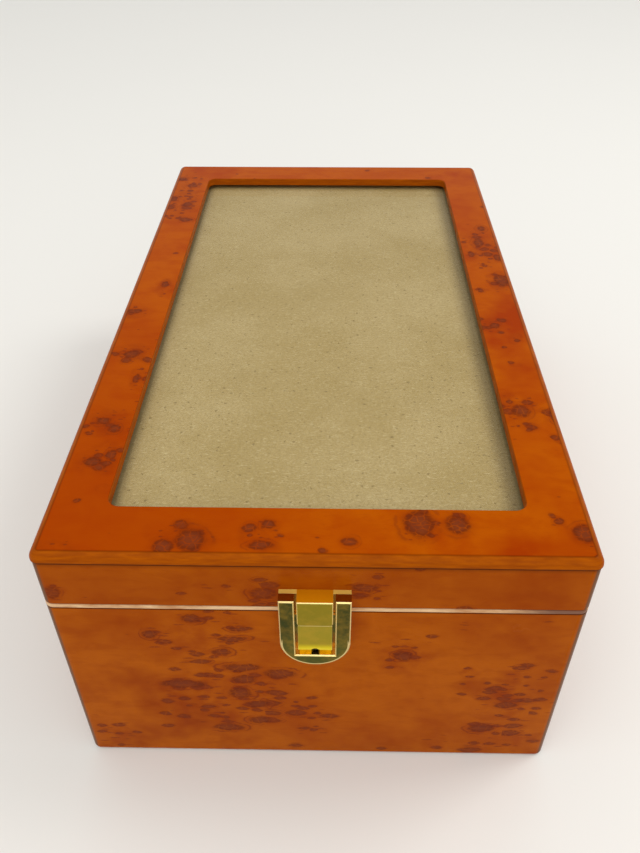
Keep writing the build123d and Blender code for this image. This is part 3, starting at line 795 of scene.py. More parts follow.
# ------------------------------------------------------------------ metal, glass and cloth
@dataclass(frozen=True)
class GoldPlate:
    """Bright gold plate: its broad flat front is darkened to olive as a painted reflection, and
    its edges carry a painted highlight.
    """

    name: str = "gold_plate"
    # front and low_front: the flat front's olive, a painted reflection of dark surroundings,
    # lighter towards the bottom.
    front: Colour = srgb(156, 140, 38)
    low_front: Colour = srgb(186, 170, 40)
    bright: Colour = srgb(250, 222, 128)
    deep: Colour = srgb(206, 160, 52)
    # glint: painted highlight on rounded edges and on the foot lines.
    glint: Colour = srgb(228, 202, 134)
    low: float = 86.0 * MM
    high: float = 98.0 * MM
    roughness: float = 0.1
    fade: float = 0.4 * MM
    pocket_shade: tuple[float, float] = (8.0 * MM, 3.0 * MM)
    pocket_floor: float = 0.8 * MM
    pocket_side: float = 0.6 * MM
    boss_fade: float = 0.1 * MM
    below_top: tuple[float, float] = (19.0 * MM, 20.0 * MM)
    foot_reach: tuple[float, float] = (0.7 * MM, 0.4 * MM)
    belly_inset: tuple[float, float] = (1.05 * MM, 0.95 * MM)
    belly_fade: float = 3.0 * MM
    foot_line: float | None = None
    belly: tuple[float, float] | None = None
    # The pocket's colours: painted shade inside the pocket, and a painted highlight on its sill.
    pocket_from: tuple[float, float, float] | None = None
    pocket: Colour = srgb(255, 232, 70)
    recess_shadow: Colour = srgb(122, 76, 10)
    boss_half: float | None = None
    # crown and arm_front are painted reflections of the wood, on the boss's top and the arms'
    # fronts; arm_top is a painted highlight on the arms' tops; housing_top is painted shade on the
    # housing's upper top faces.
    crown: Colour = srgb(214, 138, 6)
    arm_front: Colour = srgb(120, 76, 14)
    arm_top: Colour = srgb(240, 204, 96)
    housing_top: Colour = srgb(166, 132, 46)

    def build(self) -> Material:
        """Makes the material."""
        tree = ShaderTree(self.name)
        smudge = tree.noise(tree.place(), 190.0, 4.0, 0.65)
        rubbed = tree.noise(tree.scaled(tree.place(), 1.0, 1.0, 6.0), 900.0, 2.0)
        _, _, z = tree.parts(tree.place())
        _, toward, _ = tree.parts(tree.facing())
        # Painted reflection: the flat front darker olive, lighter towards the bottom, with smudges
        # mixed in.
        broad = tree.mix(z.between(self.high, self.low), self.front, self.low_front)
        broad = tree.mix(smudge.between(0.35, 0.75) * 0.25, broad, self.deep)
        rest = tree.mix(smudge.between(0.35, 0.7) * 0.5, self.bright, self.deep)
        flat = toward.between(-0.8, -0.97)
        rounded = (1.0 - flat) * abs(toward).between(0.1, 0.3)
        x, y, _ = tree.parts(tree.place())
        # Painted shade inside the pocket, and a painted highlight on its sill.
        if self.pocket_from is not None:
            depth, height, reach = self.pocket_from
            above = z - height
            inside = y.between(depth - self.fade, depth) * above.between(*self.pocket_shade)
            broad = tree.mix(inside, broad, self.recess_shadow)
            floor = above.between(self.pocket_floor, 0.0)
            below = floor * abs(x).between(reach, reach - self.pocket_side)
            broad = tree.mix(inside * below, broad, self.pocket)
        _, _, upward = tree.parts(tree.facing())
        top = upward.between(0.7, 0.95)
        dull = 0.0
        # Painted reflection on the boss's top and the arms' fronts, and a painted highlight on the
        # arms' tops, with metallic lowered on the top faces so these colours show.
        if self.boss_half is not None:
            half, fade = self.boss_half, self.boss_fade
            arm = abs(x).between(half - fade, half + fade)
            broad = tree.mix(arm, broad, self.arm_front)
            rest = tree.mix(top, rest, tree.mix(arm, self.crown, self.arm_top))
            dull = top * 0.62
        # Painted shade on the housing's upper top faces.
        if self.belly is not None:
            shaded = (z - self.belly[1]).between(*self.below_top)
            rest = tree.mix(top * shaded, rest, self.housing_top)
        colour = tree.mix(flat, rest, broad)
        # Painted highlight on rounded edges, on the boss's foot line and on the housing's foot
        # line, with metallic lowered there.
        if self.foot_line is not None:
            line = (z - self.foot_line).between(*self.foot_reach)
            rounded = rounded.most(line * flat)
        if self.belly is not None:
            rounded = rounded.most(self._belly_line(tree) * flat)
        colour = tree.mix(rounded * 0.8, colour, self.glint)
        rough = smudge * 0.08 + rubbed * 0.04 + self.roughness
        return tree.finish(
            Base_Color=colour,
            Metallic=1.0 - (rounded * 0.45).most(dull),
            Roughness=rough,
            Normal=tree.bump(smudge * 0.6 + rubbed * 0.4, 0.00003, 0.4),
        )

    def _belly_line(self, tree: ShaderTree) -> Value:
        """The painted highlight line round the foot of the housing, on its lower chamfer."""
        radius, height = self.belly
        x, _, z = tree.parts(tree.place())
        reach = tree.length(tree.joined(x, z - height))
        outer, inner = self.belly_inset
        line = reach.between(radius - outer, radius - inner)
        return line * z.between(height + self.belly_fade, height)


@dataclass(frozen=True)
class PlainMetal:
    """A plain metal with fine drawing marks, for the screw and the spring."""

    name: str
    colour: Colour
    lighter_tone: Colour
    roughness: float

    def build(self) -> Material:
        """Makes the material."""
        tree = ShaderTree(self.name)
        marks = tree.noise(tree.place(), 1400.0, 3.0, 0.6)
        colour = tree.mix(marks.between(0.5, 0.8), self.colour, self.lighter_tone)
        return tree.finish(Base_Color=colour, Metallic=0.9, Roughness=marks * 0.2 + self.roughness,
                           Normal=tree.bump(marks, 0.00004, 0.5))


@dataclass(frozen=True)
class ClearGlass:
    """Clear sheet glass, greenish at its edges, with a trace of dust."""

    name: str = "clear_glass"
    dust: Colour = srgb(210, 210, 200)

    def build(self) -> Material:
        """Makes the material."""
        tree = ShaderTree(self.name)
        clear = tree.node("ShaderNodeBsdfTransparent", inputs={"Color": (0.985, 0.99, 0.98, 1.0)})
        film = tree.noise(tree.place(), 60.0, 5.0, 0.7)
        gloss = tree.node("ShaderNodeBsdfPrincipled", inputs={
            "Base Color": self.dust, "Roughness": film * 0.06 + 0.02, "Metallic": 1.0})
        weight = tree.node("ShaderNodeLayerWeight", inputs={"Blend": 0.5})
        edge_on = Value(tree, weight.outputs["Facing"])
        share = edge_on ** 5 * 0.4 + film.between(0.5, 0.9) * 0.008 + 0.012
        mixed = tree.node("ShaderNodeMixShader", inputs={
            0: share, 1: clear.outputs[0], 2: gloss.outputs[0]})
        return tree.output(mixed.outputs[0])


@dataclass(frozen=True)
class Suede:
    """Brushed suede cloth with a cloudy nap."""

    name: str
    ground: Colour
    brushed: Colour
    nap: float = 0.00025

    def build(self) -> Material:
        """Makes the material."""
        tree = ShaderTree(self.name)
        place = tree.place()
        stroked = tree.noise(tree.wobble(place, 25.0, 0.03), 34.0, 4.0, 0.6)
        pile = tree.noise(place, 1800.0, 3.0, 0.7)
        weave = tree.noise(tree.scaled(place, 1.0, 2.5, 1.0), 2600.0, 1.0)
        colour = tree.mix(stroked.between(0.3, 0.72), self.ground, self.brushed)
        shadowed = tree.mix(1.0, colour, (0.72, 0.7, 0.68), "MULTIPLY")
        colour = tree.mix(pile.between(0.62, 0.3) * 0.5, colour, shadowed)
        return tree.finish(
            Base_Color=colour,
            Roughness=0.92,
            Sheen_Weight=0.35,
            Sheen_Roughness=0.4,
            Specular_IOR_Level=0.2,
            Normal=tree.bump(pile * 0.6 + weave * 0.4, self.nap, 0.6),
        )


@dataclass(frozen=True)
class StudioPaint:
    """The pale matt floor of the studio."""

    colour: Colour = srgb(231, 229, 224)

    def build(self) -> Material:
        """Makes the material."""
        tree = ShaderTree("studio_floor")
        cloud = tree.noise(tree.place(), 3.0, 3.0)
        shade = tree.mix(cloud * 0.08, self.colour, (0.6, 0.6, 0.6))
        return tree.finish(Base_Color=shade, Roughness=0.55, Specular_IOR_Level=0.3)


# ------------------------------------------------------------------ mesh helpers
def new_object(name: str, mesh: bpy.types.Mesh, material: Material) -> Piece:
    """Links a mesh as an object at the origin.

    Args:
        name: The piece's name.
        mesh: Its mesh, already in place.
        material: Its only material.

    Returns:
        The object.
    """
    mesh.materials.clear()
    mesh.materials.append(material)
    made = bpy.data.objects.new(name, mesh)
    bpy.context.scene.collection.objects.link(made)
    return made


def merged(mesh: bpy.types.Mesh, distance: float) -> bmesh.types.BMesh:
    """A mesh opened for editing, with its doubles merged.

    Args:
        mesh: The mesh.
        distance: How near two points may be before they are one, in metres.

    Returns:
        The open mesh, which its user frees.
    """
    shape = bmesh.new()
    shape.from_mesh(mesh)
    bmesh.ops.remove_doubles(shape, verts=shape.verts, dist=distance)
    return shape


def settle(piece: Piece) -> None:
    """Turns a piece and its modifiers into a plain mesh."""
    graph = bpy.context.evaluated_depsgraph_get()
    mesh = bpy.data.meshes.new_from_object(piece.evaluated_get(graph))
    piece.modifiers.clear()
    old = piece.data
    piece.data = mesh
    bpy.data.meshes.remove(old)


def smooth(piece: Piece, angle: float = 32.0) -> None:
    """Smooth shading, with edges over an angle in degrees kept sharp."""
    piece.data.shade_smooth()
    piece.data.set_sharp_from_angle(angle=math.radians(angle))


def refined(node: str, name: str, material: Material, ease: float = 0.0,
            segments: int = 2, where: Callable[[Vector], bool] | None = None) -> Piece:
    """A cleaned copy of a CAD node with its edges eased, which stands for the node.

    Args:
        node: The CAD node.
        name: The new piece's name.
        material: Its material.
        ease: The width of the easing in metres, or 0 for none.
        segments: How many faces round an edge has.
        where: Says of an edge's end whether it may be eased; without it every edge is.

    Returns:
        The piece, riding where the node rode.
    """
    source = frame["nodes"][node]
    shape = merged(source.data, CAD_DOUBLES)
    bmesh.ops.dissolve_limit(shape, angle_limit=FLAT_ENOUGH, verts=shape.verts, edges=shape.edges)
    if ease:
        sharp = [edge for edge in shape.edges
                 if edge.is_manifold and edge.calc_face_angle(0.0) > CORNER
                 and (where is None or all(where(end.co) for end in edge.verts))]
        bmesh.ops.bevel(shape, geom=sharp, offset=ease, segments=segments, profile=0.5,
                        affect="EDGES", clamp_overlap=True)
    mesh = bpy.data.meshes.new(name)
    shape.to_mesh(mesh)
    shape.free()
    piece = new_object(name, mesh, material)
    smooth(piece)
    weighted = piece.modifiers.new("weighted", "WEIGHTED_NORMAL")
    weighted.keep_sharp = True
    settle(piece)
    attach(piece, source["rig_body"])
    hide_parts(node)
    return piece


def islands(node: str) -> list[tuple[Vector, Vector]]:
    """The boxes of a CAD node's separate solids.

    Args:
        node: The CAD node.

    Returns:
        Lowest and highest corners, one pair for each solid.
    """
    shape = merged(frame["nodes"][node].data, CAD_DOUBLES)
    left = set(shape.verts)
    boxes = []
    while left:
        reached = [left.pop()]
        for vertex in reached:
            for edge in vertex.link_edges:
                other = edge.other_vert(vertex)
                if other in left:
                    left.remove(other)
                    reached.append(other)
        corners = [vertex.co for vertex in reached]
        boxes.append((Vector(min(c[i] for c in corners) for i in range(3)),
                      Vector(max(c[i] for c in corners) for i in range(3))))
    shape.free()
    return sorted(boxes, key=lambda box: tuple(round(value, 5) for value in box[0]))


def dress(node: str, material: Material) -> Piece:
    """Gives a CAD node its finish, and returns it."""
    piece = frame["nodes"][node]
    piece.data.materials.clear()
    piece.data.materials.append(material)
    return piece


def nodes_in(slot: str) -> list[str]:
    """The CAD nodes that the record puts in a material slot."""
    return [part["node"] for part in RECORD["subparts"] if part["material_slot"] == slot]


def slotted(piece: Piece) -> Piece:
    """Returns the piece as it is."""
    return piece


# ------------------------------------------------------------------ geometry nodes
class GeometryTree(NodeTree):
    """A geometry node tree with named sizes, for what repeats or follows a path."""

    def __init__(self, name: str) -> None:
        """Makes a tree that takes a mesh or curve in and gives one out."""
        self.tree = bpy.data.node_groups.new(name, "GeometryNodeTree")
        faces = self.tree.interface
        faces.new_socket("Geometry", in_out="INPUT", socket_type="NodeSocketGeometry")
        faces.new_socket("Geometry", in_out="OUTPUT", socket_type="NodeSocketGeometry")
        self.entry = self.tree.nodes.new("NodeGroupInput")
        self.exit = self.tree.nodes.new("NodeGroupOutput")

    def size(self, name: str, value: float | int) -> Socket:
        """Adds a named input.

        Args:
            name: What the size is.
            value: Its default.

        Returns:
            The socket that carries it in the tree.
        """
        kind = "NodeSocketInt" if isinstance(value, int) else "NodeSocketFloat"
        made = self.tree.interface.new_socket(name, in_out="INPUT", socket_type=kind)
        made.default_value = value
        return self.entry.outputs[name]

    def moved(self, geometry: Socket, **how: Any) -> Socket:
        """Geometry with a Transform node's Translation, Rotation or Scale."""
        made = self.node("GeometryNodeTransform", inputs={"Geometry": geometry, **how})
        return made.outputs[0]

    def tube(self, path: Socket, radius: Socket, capped: bool) -> Socket:
        """A round tube along a curve.

        Args:
            path: The curve.
            radius: The tube's radius.
            capped: Whether its ends are closed.

        Returns:
            Its mesh.
        """
        ring = self.node("GeometryNodeCurvePrimitiveCircle", inputs={
            "Resolution": 8, "Radius": radius})
        return self.node("GeometryNodeCurveToMesh", inputs={
            "Curve": path, "Profile Curve": ring.outputs[0], "Fill Caps": capped}).outputs[0]

    def evenly(self, spacing: Socket) -> Socket:
        """The entering curve with its points evenly spaced."""
        return self.node("GeometryNodeResampleCurve", {"mode": "LENGTH"}, {
            "Curve": self.entry.outputs[0], "Length": spacing}).outputs[0]

    def times(self, a: Any, b: Any) -> Socket:
        """A product."""
        return self.node("ShaderNodeMath", {"operation": "MULTIPLY"}, {0: a, 1: b}).outputs[0]

    def close(self, geometry: Socket, material: Material) -> None:
        """Ends the tree: instances made real, then the material.

        Args:
            geometry: What the tree has made.
            material: Its finish.
        """
        shaded = self.node("GeometryNodeSetShadeSmooth", inputs={"Geometry": geometry})
        real = self.node("GeometryNodeRealizeInstances", inputs={0: shaded.outputs[0]})
        dressed = self.node("GeometryNodeSetMaterial", inputs={
            0: real.outputs[0], "Material": material})
        self.tree.links.new(dressed.outputs[0], self.exit.inputs[0])

    def grow(self, name: str, start: bpy.types.ID, material: Material, body: str,
             **sizes: float | int) -> Piece:
        """Runs the tree on a mesh or curve and keeps the result as a plain piece.

        Args:
            name: The piece's name.
            start: The mesh or curve that the tree works on.
            material: The piece's only material.
            body: The body that it rides on.
            sizes: Values of the named inputs, with underscores for spaces.

        Returns:
            The piece.
        """
        seed = bpy.data.objects.new(f"{name}_start", start)
        bpy.context.scene.collection.objects.link(seed)
        grown = seed.modifiers.new("grown", "NODES")
        grown.node_group = self.tree
        for item in self.tree.interface.items_tree:
            key = item.name.replace(" ", "_")
            if item.in_out == "INPUT" and key in sizes:
                grown[item.identifier] = sizes[key]
        graph = bpy.context.evaluated_depsgraph_get()
        mesh = bpy.data.meshes.new_from_object(seed.evaluated_get(graph))
        bpy.data.objects.remove(seed)
        shape = merged(mesh, GROWN_DOUBLES)
        bmesh.ops.recalc_face_normals(shape, faces=shape.faces)
        shape.to_mesh(mesh)
        shape.free()
        mesh.name = name
        piece = new_object(name, mesh, material)
        smooth(piece)
        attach(piece, body)
        return piece


def path_curve(name: str, loops: Sequence[Sequence[Vector]]) -> bpy.types.Curve:
    """Closed poly curves through the given points.

    Args:
        name: The curve's name.
        loops: The points of each closed path.

    Returns:
        The curve data.
    """
    curve = bpy.data.curves.new(name, "CURVE")
    curve.dimensions = "3D"
    for points in loops:
        spline = curve.splines.new("POLY")
        spline.points.add(len(points) - 1)
        for knot, point in zip(spline.points, points):
            knot.co = (*point, 1.0)
        spline.use_cyclic_u = True
    return curve


# ------------------------------------------------------------------ studio
@dataclass
class Softbox:
    """One soft studio light."""

    name: str
    at: tuple[float, float, float]
    size: float
    watts: float
    colour: Colour = (1.0, 1.0, 1.0)


@dataclass
class Studio:
    """Floor, lights and camera."""

    floor_half: float = 6.0
    lens: float = 33.7
    camera_from_front: tuple[float, float, float] = (0.00584, -0.18236, 0.3378)
    camera_pitch: float = 39.45
    camera_yaw: float = -1.21
    camera_roll: float = -0.23
    world: Colour = (1.0, 1.0, 0.985)
    world_strength: float = 0.79
    lights: tuple[Softbox, ...] = (
        Softbox("key", (1.3, 0.35, 1.7), 0.7, 10.5, (1.0, 0.99, 0.975)),
        Softbox("overhead", (-0.3, -1.1, 2.2), 1.6, 14.0, (1.0, 1.0, 0.985)),
        Softbox("front", (0.5, -2.0, 1.2), 1.2, 7.0, (1.0, 0.99, 0.975)),
    )

    def build(self) -> Pieces:
        """Sets the studio up round the box, and returns its floor."""
        floor = self._floor()
        for light in self.lights:
            self._light(light)
        self._sky()
        self._camera()
        bpy.context.scene.view_settings.view_transform = "Standard"
        return [floor]

    def _floor(self) -> Piece:
        """A plain pale floor under the box."""
        half = self.floor_half
        level = CAD_BOX[0].z
        corners = [(x * half, y * half, level) for x, y in ((-1, -1), (1, -1), (1, 1), (-1, 1))]
        mesh = bpy.data.meshes.new("studio_floor")
        mesh.from_pydata(corners, [], [(0, 1, 2, 3)])
        floor = new_object("studio_floor", mesh, StudioPaint().build())
        return floor

    def _light(self, light: Softbox) -> None:
        """One area light that faces the box.

        Args:
            light: Its place, size and power.
        """
        data = bpy.data.lights.new(light.name, "AREA")
        data.shape = "SQUARE"
        data.size = light.size
        data.energy = light.watts
        data.color = light.colour
        lamp = bpy.data.objects.new(light.name, data)
        bpy.context.scene.collection.objects.link(lamp)
        lamp.location = light.at
        middle = (CAD_BOX[0] + CAD_BOX[1]) / 2
        lamp.rotation_mode = "QUATERNION"
        lamp.rotation_quaternion = (middle - Vector(light.at)).to_track_quat("-Z", "Y")

    def _sky(self) -> None:
        """An even pale surround."""
        world = bpy.data.worlds.new("studio")
        world.use_nodes = True
        ground = world.node_tree.nodes["Background"]
        ground.inputs["Color"].default_value = (*self.world, 1.0)
        ground.inputs["Strength"].default_value = self.world_strength
        bpy.context.scene.world = world

    def _camera(self) -> None:
        """A camera above the catch end, looking down along the lid."""
        data = bpy.data.cameras.new("camera")
        data.lens = self.lens
        camera = bpy.data.objects.new("camera", data)
        bpy.context.scene.collection.objects.link(camera)
        front = Vector((0.0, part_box("base_front_wall")[0].y, CAD_BOX[0].z))
        turn = Matrix.Rotation(math.radians(-self.camera_yaw), 4, "Z")
        tilt = Matrix.Rotation(math.radians(90 - self.camera_pitch), 4, "X")
        roll = Matrix.Rotation(math.radians(self.camera_roll), 4, "Z")
        place = Matrix.Translation(front + Vector(self.camera_from_front))
        camera.matrix_world = place @ turn @ tilt @ roll
        bpy.context.scene.camera = camera


# ------------------------------------------------------------------ the box's assemblies
def spots(*rows: Sequence[float]) -> tuple[Spot, ...]:
    """Patches of veneer, one from each row of a spot's numbers."""
    return tuple(Spot(*row) for row in rows)


FRONT_KNOTS = spots(
    (-46, 95, 4, 2.5), (-32, 83, 6, 1.8), (-28, 89, 5, 1.6), (-63, 85, 3, 3), (-29, 64, 8, 2.6),
    (-29, 56, 5, 3), (-14, 60, 7, 3.5), (-54, 52, 10, 3), (-31, 46, 5, 4), (-24, 38, 5, 3),
    (-38, 20, 7, 3), (-24, 26, 5, 2.4), (-36, 74, 4, 2.4), (34, 73, 4, 3), (70, 22, 6, 3),
    (78, 40, 5, 2.6), (-19, 110, 5, 3), (18, 114, 5, 2.4), (-95, 109, 3, 3.6),
)
FRONT_SPOTS = spots(
    (-47, 80, 30, 13), (-37, 42, 36, 27), (-4, 28, 13, 22, 0.6), (-88, 14, 13, 13, 0.7),
    (-38, 93, 17, 8), (34, 73, 12, 12), (57, 92, 7, 5, 0.8), (61, 63, 4, 4),
    (79, 46, 20, 26, 0.8), (76, 14, 22, 18, 0.8), (52, 10, 7, 10), (-94, 110, 6, 6),
    (-37, 113, 8, 4), (-18, 110, 10, 10), (19, 114, 13, 9), (95, 105, 4, 3),
)
TOP_KNOTS = spots(
    (-53, -171, 4, 3.4), (-44, -168, 6, 6), (-17, -160, 3, 2.6), (-19, -170, 5, 2.4),
    (37, -159, 6, 7), (51, -159, 4.6, 4.6), (95, -163, 4, 4.6), (94, 18, 4.3, 6.5),
    (85, -93, 4.3, 4.3), (84, -26, 2.9, 2.9), (-88, -53, 4.3, 2.9), (-90, -102, 3.6, 2.9),
    (-84, -107, 2.9, 2.9), (-88, -127, 3.6, 2.9), (-82, -123, 2.2, 2.9), (88, 62, 3.6, 5.8),
    (82, 48, 2.2, 3.6), (-95, 152, 2.9, 2.9), (-87, 141, 3.6, 2.9), (-96, 120, 2.9, 3.6),
    (-86, 112, 2.9, 3.6), (-84, 90, 4.3, 2.9), (-83, 12, 2.2, 3.6), (-94, -15, 4.3, 2.4),
    (-82, -72, 1.7, 3.6), (92, 80, 2.9, 3.6), (96, 44, 2.4, 4.3), (82, 8, 1.7, 2.2),
    (98, -96, 1.9, 4.3),
)
TOP_SPOTS = spots(
    (-47, -166, 13, 9, 1.3), (-19, -165, 8, 9), (37, -161, 9, 9, 1.3), (51, -159, 7, 6, 1.2),
    (87, -158, 4, 3), (96, -164, 6, 7), (-90, -172, 9, 4), (-90, 124, 13, 44, 0.83),
    (-83, 9, 5, 10, 1.5), (-93, -15, 8, 6, 1.5), (-87, -53, 11, 9, 1.5), (-81, -72, 5, 10, 1.5),
    (-88, -103, 13, 10, 1.5), (-86, -126, 11, 10, 1.5), (-80, -143, 3, 3, 1.5),
    (89, 55, 13, 30, 0.9), (94, 18, 9, 13, 2.1), (81, 8, 4, 4, 1.5), (84, -26, 9, 9, 0.9),
    (92, -38, 4, 4, 1.5), (87, -58, 4, 4, 1.5), (84, -94, 11, 16, 1.2), (98, -95, 5, 9, 1.5),
    (97, -112, 3, 4, 1.5),
)
BACK_KNOTS = spots(
    (-66, 76, 6, 3), (-50, 62, 8, 3), (10, 34, 7, 3), (30, 24, 5, 4), (72, 88, 6, 3),
    (10, 113, 5, 2.6),
)
LEFT_KNOTS = spots(
    (-138, 68, 7, 3), (-122, 52, 9, 3), (-48, 26, 7, 3), (12, 82, 8, 3), (32, 76, 5, 3),
    (104, 46, 9, 3), (122, 32, 6, 4), (62, 114, 5, 2.6),
)
RIGHT_KNOTS = spots(
    (-126, 38, 8, 3), (-112, 28, 5, 3), (-44, 86, 8, 3), (30, 42, 7, 4), (44, 30, 6, 3),
    (112, 76, 8, 3), (126, 66, 5, 3), (-12, 112, 6, 2.6),
)
BACK_SPOTS = spots(
    (-60, 70, 30, 24), (22, 30, 36, 20), (70, 86, 20, 12), (10, 112, 16, 9),
    (-84, 18, 14, 14, 0.8), (-20, 92, 12, 6),
)
LEFT_SPOTS = spots(
    (-130, 60, 34, 26), (-50, 28, 30, 20), (20, 80, 40, 18), (110, 40, 36, 28), (150, 90, 16, 10),
    (-90, 108, 20, 9), (60, 114, 22, 8),
)
RIGHT_SPOTS = spots(
    (-120, 34, 34, 24), (-40, 84, 34, 16), (36, 36, 34, 26), (118, 72, 36, 22),
    (-150, 92, 14, 10), (-10, 112, 24, 8), (140, 20, 20, 12),
)


def on_outside(point: Vector) -> bool:
    """Whether a point lies on the outer face of the walls."""
    return abs(point.x) > LID_TOP[1].x - OUTER_SKIN or abs(point.y) > LID_TOP[1].y - OUTER_SKIN


def at_levels(*levels: float) -> Callable[[Vector], bool]:
    """A test for edges on the outside at some of the given heights.

    Args:
        levels: Heights in metres.

    Returns:
        The test, for an edge's end.
    """
    def near(point: Vector) -> bool:
        """Whether the point is on the outside at one of the heights."""
        return on_outside(point) and any(abs(point.z - level) < 0.03 * MM for level in levels)

    return near


WALL_FIGURE = {
    Face.FRONT: (FRONT_SPOTS, FRONT_KNOTS),
    Face.BACK: (BACK_SPOTS, BACK_KNOTS),
    Face.LEFT: (LEFT_SPOTS, LEFT_KNOTS),
    Face.RIGHT: (RIGHT_SPOTS, RIGHT_KNOTS),
}


@dataclass
class Carcass:
    """The veneered walls of base and lid, the edging, the bottom and the baize."""

    easing: float = 0.3 * MM
    edging: PaleEdging = PaleEdging()
    bottom: RawBoard = RawBoard("plain_board", srgb(150, 118, 80), srgb(168, 134, 94),
                                srgb(196, 168, 126), srgb(110, 82, 52))
    baize: Suede = Suede("baize", srgb(34, 30, 28), srgb(48, 43, 40))

    def build(self) -> Pieces:
        """Dresses the carcass, and returns its pieces."""
        pieces = []
        for face, figure in WALL_FIGURE.items():
            veneer = BurlVeneer(face, *figure).build()
            for half in ("base", "lid"):
                node = f"{half}_{face.value}_wall"
                low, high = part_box(node)
                eased = at_levels(low.z, high.z)
                wall = refined(node, f"{node}_veneered", veneer, self.easing, 2, eased)
                pieces.append(slotted(wall))
        low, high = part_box("base_rim_band")
        rim = refined("base_rim_band", "rim_edging", self.edging.build(), self.easing, 2,
                      at_levels(low.z, high.z))
        pieces.append(slotted(rim))
        pieces.append(dress("base_bottom_panel", self.bottom.build()))
        return [*pieces, self._felt()]

    def _felt(self) -> Piece:
        """The baize sheet under the box."""
        felt = refined("base_felt", "baize_sheet", self.baize.build())
        return slotted(felt)


@dataclass
class Lid:
    """The lid's frame, glass, backing board, strips and lining."""

    veneer: BurlVeneer = BurlVeneer(Face.TOP, TOP_SPOTS, TOP_KNOTS, TOP_GROUND, pointed=0.25,
                                flow=0.35, curls=0.5, gloss=0.02)
    glass: ClearGlass = ClearGlass()
    board: RawBoard = RawBoard("tan_board", srgb(168, 144, 92), srgb(181, 158, 110),
                               srgb(208, 190, 148), srgb(124, 102, 60))
    # The spacer card is a real part whose near-black is also painted shade for the gap between
    # glass and board.
    card: Suede = Suede("black_card", srgb(16, 15, 14), srgb(24, 23, 22))
    narrowest_rail: float = 12 * MM
    cloth: Suede = Suede("lid_suede", srgb(214, 200, 176), srgb(226, 214, 192))

    def build(self) -> Pieces:
        """Dresses the lid, and returns its pieces."""
        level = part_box("lid_top_frame")[0].z
        top = refined("lid_top_frame", "top_frame_veneered", self.veneer.build(), 0.3 * MM, 2,
                      at_levels(level))
        # The backing board gets painted shade along the window's sides.
        pieces = [slotted(top), dress("lid_glass", self.glass.build()),
                  dress("lid_backing_board", replace(self.board, window=self._window()).build()),
                  dress("lid_spacer_frame", self.card.build())]
        cloth = self.cloth.build()
        for side in ("front", "back", "left", "right"):
            node = f"lid_retaining_strip_{side}"
            strip = refined(node, f"{node}_covered", cloth, 0.8 * MM, 3)
            pieces.append(slotted(strip))
        panel = refined("lid_lining_panel", "lid_lining_covered", cloth, 0.8 * MM, 3)
        return [*pieces, slotted(panel)]

    def _window(self) -> float:
        """Half the width of the opening in the top frame, read off its inner edge."""
        points = [vertex.co for vertex in frame["nodes"]["lid_top_frame"].data.vertices]
        return max(point.x for point in points if point.x < LID_TOP[1].x - self.narrowest_rail)


@dataclass
class Interior:
    """Linings, boards and tray in suede cloth."""

    cloth: Suede = Suede("lining_suede", srgb(208, 192, 166), srgb(222, 208, 184))
    easing: float = 0.7 * MM

    def build(self) -> Pieces:
        """Covers every board of the inside, and returns them."""
        material = self.cloth.build()
        return [slotted(refined(node, f"{node}_covered", material, self.easing, 3))
                for node in nodes_in("lining_suede") if not node.startswith("lid_")]


